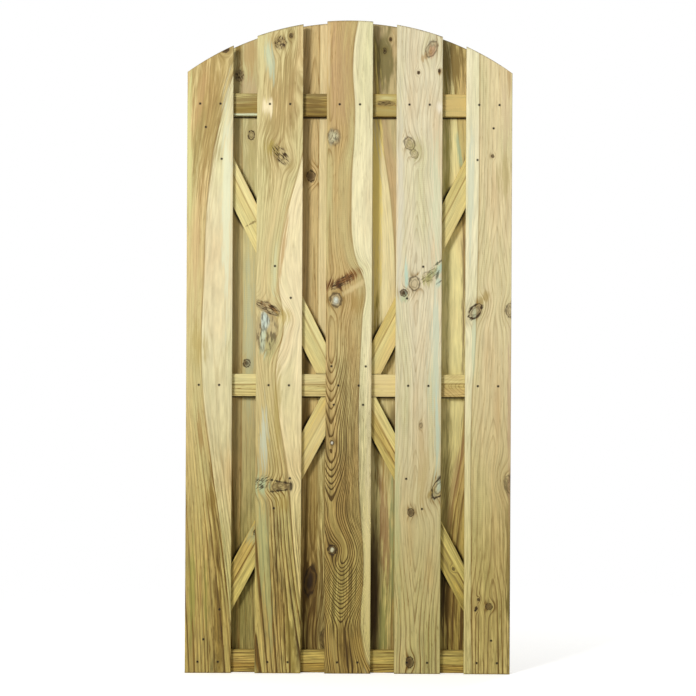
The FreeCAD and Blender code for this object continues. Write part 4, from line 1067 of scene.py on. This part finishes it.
def pine_material(node, low, high, along, lean):
    """Pressure-treated pine, sawn: pale yellow-green, with soft rings, dark knots and a fibrous face."""
    finish = bpy.context.scene.gate_pine
    timber = TIMBERS[node]
    groups = bpy.data.node_groups
    pine = groups.get("treated_pine") or pine_group(finish)
    knot = groups.get("knot") or knot_group()
    stain = groups.get("stain") or stain_group("stain", "MIX")
    wash = groups.get("wash") or stain_group("wash", "MULTIPLY")
    material, tree = blank_material(f"sawn_treated_pine.{node}")

    # Boards keep the gate's frame, in mm; rails and braces have their own, with the grain along Z
    turn, middle = 0.0, Vector((0, 0, 0))
    if node not in FRONT_BOARDS + BACK_BOARDS:
        turn = math.pi / 2 if along == 0 else -math.atan(lean)
        middle = (Vector(low) + Vector(high)) / 2
        middle.x += lean * (middle.z - low[2])
    spot = Matrix.Rotation(turn, 3, "Y") @ (middle / MM)
    here = add(tree, "ShaderNodeTexCoord").outputs["Object"]
    place = add(tree, "ShaderNodeMapping", {"Vector": here, "Location": -spot, "Rotation": (0, turn, 0),
                                            "Scale": (1 / MM, 1 / MM, 1 / MM)})
    across, _, up = add(tree, "ShaderNodeSeparateXYZ", [place]).outputs
    edge = heart_edge(tree, timber, up)
    middle_edge = sum(edge_across for _, edge_across in timber.edge) / len(timber.edge)
    flow = add(tree, "ShaderNodeMath", [edge, middle_edge], operation="SUBTRACT")
    beside = add(tree, "ShaderNodeMath", [across, edge], operation="SUBTRACT")
    heart_gap = add(tree, "ShaderNodeMath", [beside, float(timber.heart_side)], operation="MULTIPLY")
    height = add(tree, "ShaderNodeSeparateXYZ", [here]).outputs["Z"]
    # The first ramp carries the painted shade of the foot, and the second the coarser wet grain
    soaked, deep_soaked = (
        add(tree, "ShaderNodeMapRange", {"Value": height, "From Min": start * MM, "From Max": full * MM},
            interpolation_type="SMOOTHSTEP")
        for start, full in ((FOOT_SHADE_TOP, FOOT_SHADE_FULL), (timber.wet_to, timber.wet_to - SOAK_RUN)))

    # The wood, with its flames, its knots and then its stains, and on the back boards painted shade and
    # painted light
    state = {"Spot": (NO_KNOT, 0.0, 0.0), "Look": (0.0, 0.0, 0.0), "Near": NO_KNOT, "Push": 0.0, "Warp": 0.0}
    for flame in timber.flames:
        climb = add(tree, "ShaderNodeMapRange", {
            "Value": up, "From Min": flame.low, "From Max": flame.high,
            "To Max": flame.climb * (flame.high - flame.low)}, interpolation_type="SMOOTHSTEP")
        state["Warp"] = add(tree, "ShaderNodeMath", [climb, state["Warp"]], operation="ADD")
        drift = add(tree, "ShaderNodeMapRange", {
            "Value": up, "From Min": flame.high + DRIFT_RUN, "From Max": flame.high,
            "To Max": -flame.drift}, interpolation_type="SMOOTHSTEP")
        state["Push"] = add(tree, "ShaderNodeMath", [drift, state["Push"]], operation="ADD")
    for branch in timber.knots:
        end = add(tree, "ShaderNodeGroup", {
            "Place": place, "X": branch.across, "Z": branch.up, "Radius": branch.radius,
            "Stretch": branch.stretch, "Slant": -math.radians(branch.slant), "Bend": branch.bend,
            "Lift": branch.lift, "Own Look": (branch.shade, branch.rim, branch.rough), **state},
            node_tree=knot)
        state = {label: end.outputs[label] for label in state}
    wood = add(tree, "ShaderNodeGroup", {
        "Place": place, "Sapwood": rgba(timber.sapwood), "Heartwood": rgba(timber.heartwood),
        "Middle": middle_edge, "Flow": flow, "Heart Gap": heart_gap, "Pith Across": timber.pith_across,
        "Pith Depth": timber.pith_depth, "Ring": timber.ring, "Narrowing": timber.narrowing,
        "Taper": timber.taper, "Contrast": timber.contrast, "Streaks": timber.streaks, "Soak": deep_soaked,
        "Seed": timber.seed, **state}, node_tree=pine).outputs
    colour = wood["Colour"]
    # Back boards also take painted shadows under the rails and painted shade in the braces' corners
    for patch in [*timber.stains, *(RAIL_SHADOW_LINES + corner_shade_marks(node) if node in BACK_BOARDS else ())]:
        depth, ragged = (SHADE_ON_FACE_DEPTH, 0.0) if patch.shade_on_face else (RIGHT_THROUGH, wood["Ragged"])
        colour = add(tree, "ShaderNodeGroup", {
            "Place": place, "Colour": colour, "Tint": rgba(patch.tint), "Strength": patch.strength,
            "Centre": (patch.across, low[1] / MM, patch.up),
            "Reach": (patch.half_width, depth, patch.half_height),
            "Slant": -math.radians(patch.slant), "Ragged": ragged},
            node_tree=wash if patch.wash else stain).outputs["Colour"]

    # Nails leave a black stain, end grain drinks more of the treatment, and a cut end has a frayed rim
    nail_gap, end_grain, end_rim = (
        add(tree, "ShaderNodeAttribute", attribute_name=label).outputs["Fac"]
        for label in ("nail_gap", "end_grain", "end_rim"))
    stained = add(tree, "ShaderNodeMapRange", {
        "Value": nail_gap, "From Min": STAIN_EDGE * MM, "From Max": STAIN_FULL * MM, "To Max": 0.85},
        interpolation_type="SMOOTHSTEP")
    drunk = add(tree, "ShaderNodeMath", [end_grain, 0.7], operation="MULTIPLY")
    frayed = add(tree, "ShaderNodeMapRange", {"Value": wood["Ragged"], "From Min": -0.4, "From Max": 0.4,
                                              "To Max": 0.9})
    rimmed = add(tree, "ShaderNodeMath", [end_rim, frayed], operation="MULTIPLY")

    # The layers over the wood: the knots' marks, painted shade that makes the foot darker and yellower, the
    # nails and the ends
    for share, tint, blend in ((wood["Marks"], finish.knot_mark, "MIX"), (soaked, finish.foot, "MULTIPLY"),
                               (stained, finish.nail_stain, "MIX"), (drunk, finish.end_grain, "MIX"),
                               (rimmed, finish.cut_rim, "MIX")):
        colour = add(tree, "ShaderNodeMix", {"Factor": share, "A": colour, "B": (*tint, 1.0)},
                     data_type="RGBA", blend_type=blend)
    roughness = add(tree, "ShaderNodeMath", [wood["Late"], -0.12, 0.82], operation="MULTIPLY_ADD")
    bump = add(tree, "ShaderNodeBump", {"Height": wood["Relief"], "Strength": 0.6, "Distance": RELIEF * MM})
    surface = add(tree, "ShaderNodeBsdfPrincipled", {"Base Color": colour, "Roughness": roughness,
                                                     "Normal": bump, "Specular IOR Level": 0.3})
    add(tree, "ShaderNodeOutputMaterial", {"Surface": surface})
    return material


def steel_material():
    """Drawn steel wire gone dull in wet wood: near black, with a brown film of rust and little shine."""
    sizes = bpy.context.scene.gate_nails
    material, tree = blank_material("drawn_steel_wire")
    here = add(tree, "ShaderNodeTexCoord").outputs["Object"]
    specks = add(tree, "ShaderNodeTexNoise", {"Vector": here, "Scale": 1 / (RUST_SPECK * MM), "Detail": 3.0})
    rust = specks.outputs[0]
    share = add(tree, "ShaderNodeMapRange", {"Value": rust, "From Min": 0.35, "From Max": 0.6})
    colour = add(tree, "ShaderNodeMix", {"Factor": share, "A": (*sizes.steel, 1.0), "B": (*sizes.rust, 1.0)},
                 data_type="RGBA")
    roughness = add(tree, "ShaderNodeMapRange", {"Value": rust, "To Min": 0.45, "To Max": 0.85})
    bump = add(tree, "ShaderNodeBump", {"Height": rust, "Strength": 0.4, "Distance": RUST_RELIEF * MM})
    surface = add(tree, "ShaderNodeBsdfPrincipled", {"Base Color": colour, "Metallic": 0.5,
                                                     "Roughness": roughness, "Normal": bump})
    add(tree, "ShaderNodeOutputMaterial", {"Surface": surface})
    return material


def floor_material(colour):
    """Matt painted floor, lit from below: pale, with a faint mottle, fading into the white ground."""
    material, tree = blank_material("matt_painted_floor")
    here = add(tree, "ShaderNodeTexCoord").outputs["Object"]
    mottle = add(tree, "ShaderNodeTexNoise", {"Vector": here, "Scale": 1 / (FLOOR_MOTTLE * MM)}).outputs[0]
    light = add(tree, "ShaderNodeMapRange", {"Value": mottle, "To Min": 0.985, "To Max": 1.0})
    painted = add(tree, "ShaderNodeVectorMath", {"Vector": tuple(colour), "Scale": light}, operation="SCALE")
    seen = add(tree, "ShaderNodeLightPath").outputs["Is Camera Ray"]
    glow = add(tree, "ShaderNodeMath", [seen, 0.45], operation="MULTIPLY")
    surface = add(tree, "ShaderNodeBsdfPrincipled", {
        "Base Color": painted, "Roughness": 0.9, "Specular IOR Level": 0.2,
        "Emission Color": (1.0, 1.0, 1.0, 1.0), "Emission Strength": glow})
    away = add(tree, "ShaderNodeVectorMath", [here], operation="LENGTH").outputs["Value"]
    fade = add(tree, "ShaderNodeMapRange", {"Value": away, "From Min": FADE_START * MM,
                                            "From Max": FADE_END * MM}, interpolation_type="SMOOTHSTEP")
    clear = add(tree, "ShaderNodeBsdfTransparent")
    faded = add(tree, "ShaderNodeMixShader", [fade, surface, clear])
    add(tree, "ShaderNodeOutputMaterial", {"Surface": faded})
    return material


# Operators, one for each group of like pieces and one for the stage, with the stage's places in metres

KEY_PLACE, BACK_PLACE = Vector((-1.8, -3.6, 2.3)), Vector((1.8, 3.6, 2.3))
LIGHT_AIM = Vector((0, 0, 1.3))
CAMERA_ACROSS, CAMERA_UP = -2 * MM, -2.5 * MM     # from the gate's middle
SENSOR = 36.0                                     # width of the camera's sensor, in mm
FLOOR_SIDES = 64


class GATE_OT_front_boards(bpy.types.Operator):
    """Makes the five front boards"""
    bl_idname = "gate.front_boards"
    bl_label = "Front Boards"

    def execute(self, context):
        for node in FRONT_BOARDS:
            make_board(node)
        return {"FINISHED"}


class GATE_OT_back_boards(bpy.types.Operator):
    """Makes the four back boards behind the gaps"""
    bl_idname = "gate.back_boards"
    bl_label = "Back Boards"

    def execute(self, context):
        for node in BACK_BOARDS:
            make_board(node)
        return {"FINISHED"}


class GATE_OT_rails(bpy.types.Operator):
    """Makes the three rails"""
    bl_idname = "gate.rails"
    bl_label = "Rails"

    def execute(self, context):
        for node in RAILS:
            make_timber(node, 0, {})
        return {"FINISHED"}


class GATE_OT_braces(bpy.types.Operator):
    """Makes the four braces"""
    bl_idname = "gate.braces"
    bl_label = "Braces"

    def execute(self, context):
        for node in BRACES:
            make_brace(node)
        return {"FINISHED"}


class GATE_OT_nails(bpy.types.Operator):
    """Drives the nails"""
    bl_idname = "gate.nails"
    bl_label = "Nails"

    def execute(self, context):
        sizes = context.scene.gate_nails
        steel = steel_material()
        tree = driven_nails_tree()
        for node in NAIL_GROUPS:
            places, facing = nail_places(node)
            low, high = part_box(node)
            shank = high.y - low.y - sizes.head_thickness - sizes.point_length
            piece = point_cloud(f"{node}_wire", places)
            run_tree(piece, tree, {
                "Head Radius": sizes.head_radius, "Head Thickness": sizes.head_thickness,
                "Shank Radius": sizes.shank_radius, "Shank Length": shank, "Point Length": sizes.point_length,
                "Turn": facing * math.pi / 2, "Material": steel})
            stand_in(piece, node)
        return {"FINISHED"}


class GATE_OT_stage(bpy.types.Operator):
    """Sets up the floor, the lights and the camera"""
    bl_idname = "gate.stage"
    bl_label = "Stage"

    def execute(self, context):
        scene = context.scene
        stage = scene.gate_stage
        self.lay_floor(scene, stage)

        # The key light stands on the left, so each front board shades the left of the gap beside it
        self.hang_light(scene, "key", stage.key_power, stage.key_size, KEY_PLACE)
        self.hang_light(scene, "back", stage.back_power, 2 * stage.key_size, BACK_PLACE)

        # The ground all round is white to the camera and lights the gate softly
        world = bpy.data.worlds.new("studio")
        world.use_nodes = True
        tree = world.node_tree
        tree.nodes.clear()
        seen = add(tree, "ShaderNodeLightPath").outputs["Is Camera Ray"]
        strength = add(tree, "ShaderNodeMapRange", {"Value": seen, "To Min": stage.ambient, "To Max": 1.0})
        sky = add(tree, "ShaderNodeBackground", {"Color": (1, 1, 1, 1), "Strength": strength})
        add(tree, "ShaderNodeOutputWorld", {"Surface": sky})
        scene.world = world

        camera = bpy.data.cameras.new("camera")
        camera.sensor_width = SENSOR
        camera.lens = stage.lens
        view = bpy.data.objects.new("camera", camera)
        middle = (CAD_LOW + CAD_HIGH) / 2
        stand = Vector((CAMERA_ACROSS, CAD_LOW.y - stage.distance, middle.z + CAMERA_UP))
        view.matrix_world = (Matrix.Translation(stand) @ Matrix.Rotation(math.pi / 2, 4, "X")
                             @ Matrix.Rotation(stage.roll, 4, "Z"))
        scene.collection.objects.link(view)
        scene.camera = view
        scene.view_settings.view_transform = "Standard"
        return {"FINISHED"}

    def hang_light(self, scene, name, power, size, place):
        """A square soft light that looks at the upper half of the gate."""
        light = bpy.data.lights.new(name, "AREA")
        light.energy = power
        light.size = size
        lamp = bpy.data.objects.new(name, light)
        lamp.location = place
        aim = LIGHT_AIM - lamp.location
        lamp.rotation_euler = aim.to_track_quat("-Z", "Y").to_euler()
        scene.collection.objects.link(lamp)

    def lay_floor(self, scene, stage):
        """A round floor under the gate."""
        radius = stage.floor_radius
        turns = [2 * math.pi * side / FLOOR_SIDES for side in range(FLOOR_SIDES)]
        rim = [(radius * math.cos(turn), radius * math.sin(turn), 0) for turn in turns]
        mesh = bpy.data.meshes.new("floor")
        mesh.from_pydata(rim, [], [list(range(FLOOR_SIDES))])
        mesh.materials.append(floor_material(stage.floor))
        floor = bpy.data.objects.new("floor", mesh)
        scene.collection.objects.link(floor)


PIECE_OPERATORS = (GATE_OT_front_boards, GATE_OT_back_boards, GATE_OT_rails, GATE_OT_braces, GATE_OT_nails,
                   GATE_OT_stage)


class GATE_PT_build(bpy.types.Panel):
    """Lists the gate's pieces and their sizes"""
    bl_label = "Sawn Pine Gate"
    bl_space_type = "VIEW_3D"
    bl_region_type = "UI"
    bl_category = "Gate"

    def draw(self, context):
        for operator in PIECE_OPERATORS:
            self.layout.operator(operator.bl_idname)
        for name in SETTINGS:
            group = getattr(context.scene, name)
            for prop in group.bl_rna.properties:
                if prop.identifier not in ("rna_type", "name"):
                    self.layout.prop(group, prop.identifier)


SETTINGS = {"gate_timber": GateTimberSizes, "gate_nails": GateNailSizes, "gate_pine": GatePineFinish,
            "gate_stage": GateStage}
CLASSES = (*SETTINGS.values(), *PIECE_OPERATORS, GATE_PT_build)


def register():
    """Registers the classes and gives the scene its settings."""
    for entry in CLASSES:
        bpy.utils.register_class(entry)
    for name, group in SETTINGS.items():
        setattr(bpy.types.Scene, name, PointerProperty(type=group))


def unregister():
    """Takes the settings and the classes away again."""
    for name in SETTINGS:
        delattr(bpy.types.Scene, name)
    for entry in reversed(CLASSES):
        bpy.utils.unregister_class(entry)


def main():
    """Makes every piece and the stage."""
    register()
    bpy.ops.gate.front_boards()
    bpy.ops.gate.back_boards()
    bpy.ops.gate.rails()
    bpy.ops.gate.braces()
    bpy.ops.gate.nails()
    bpy.ops.gate.stage()


if __name__ == "__main__":
    main()
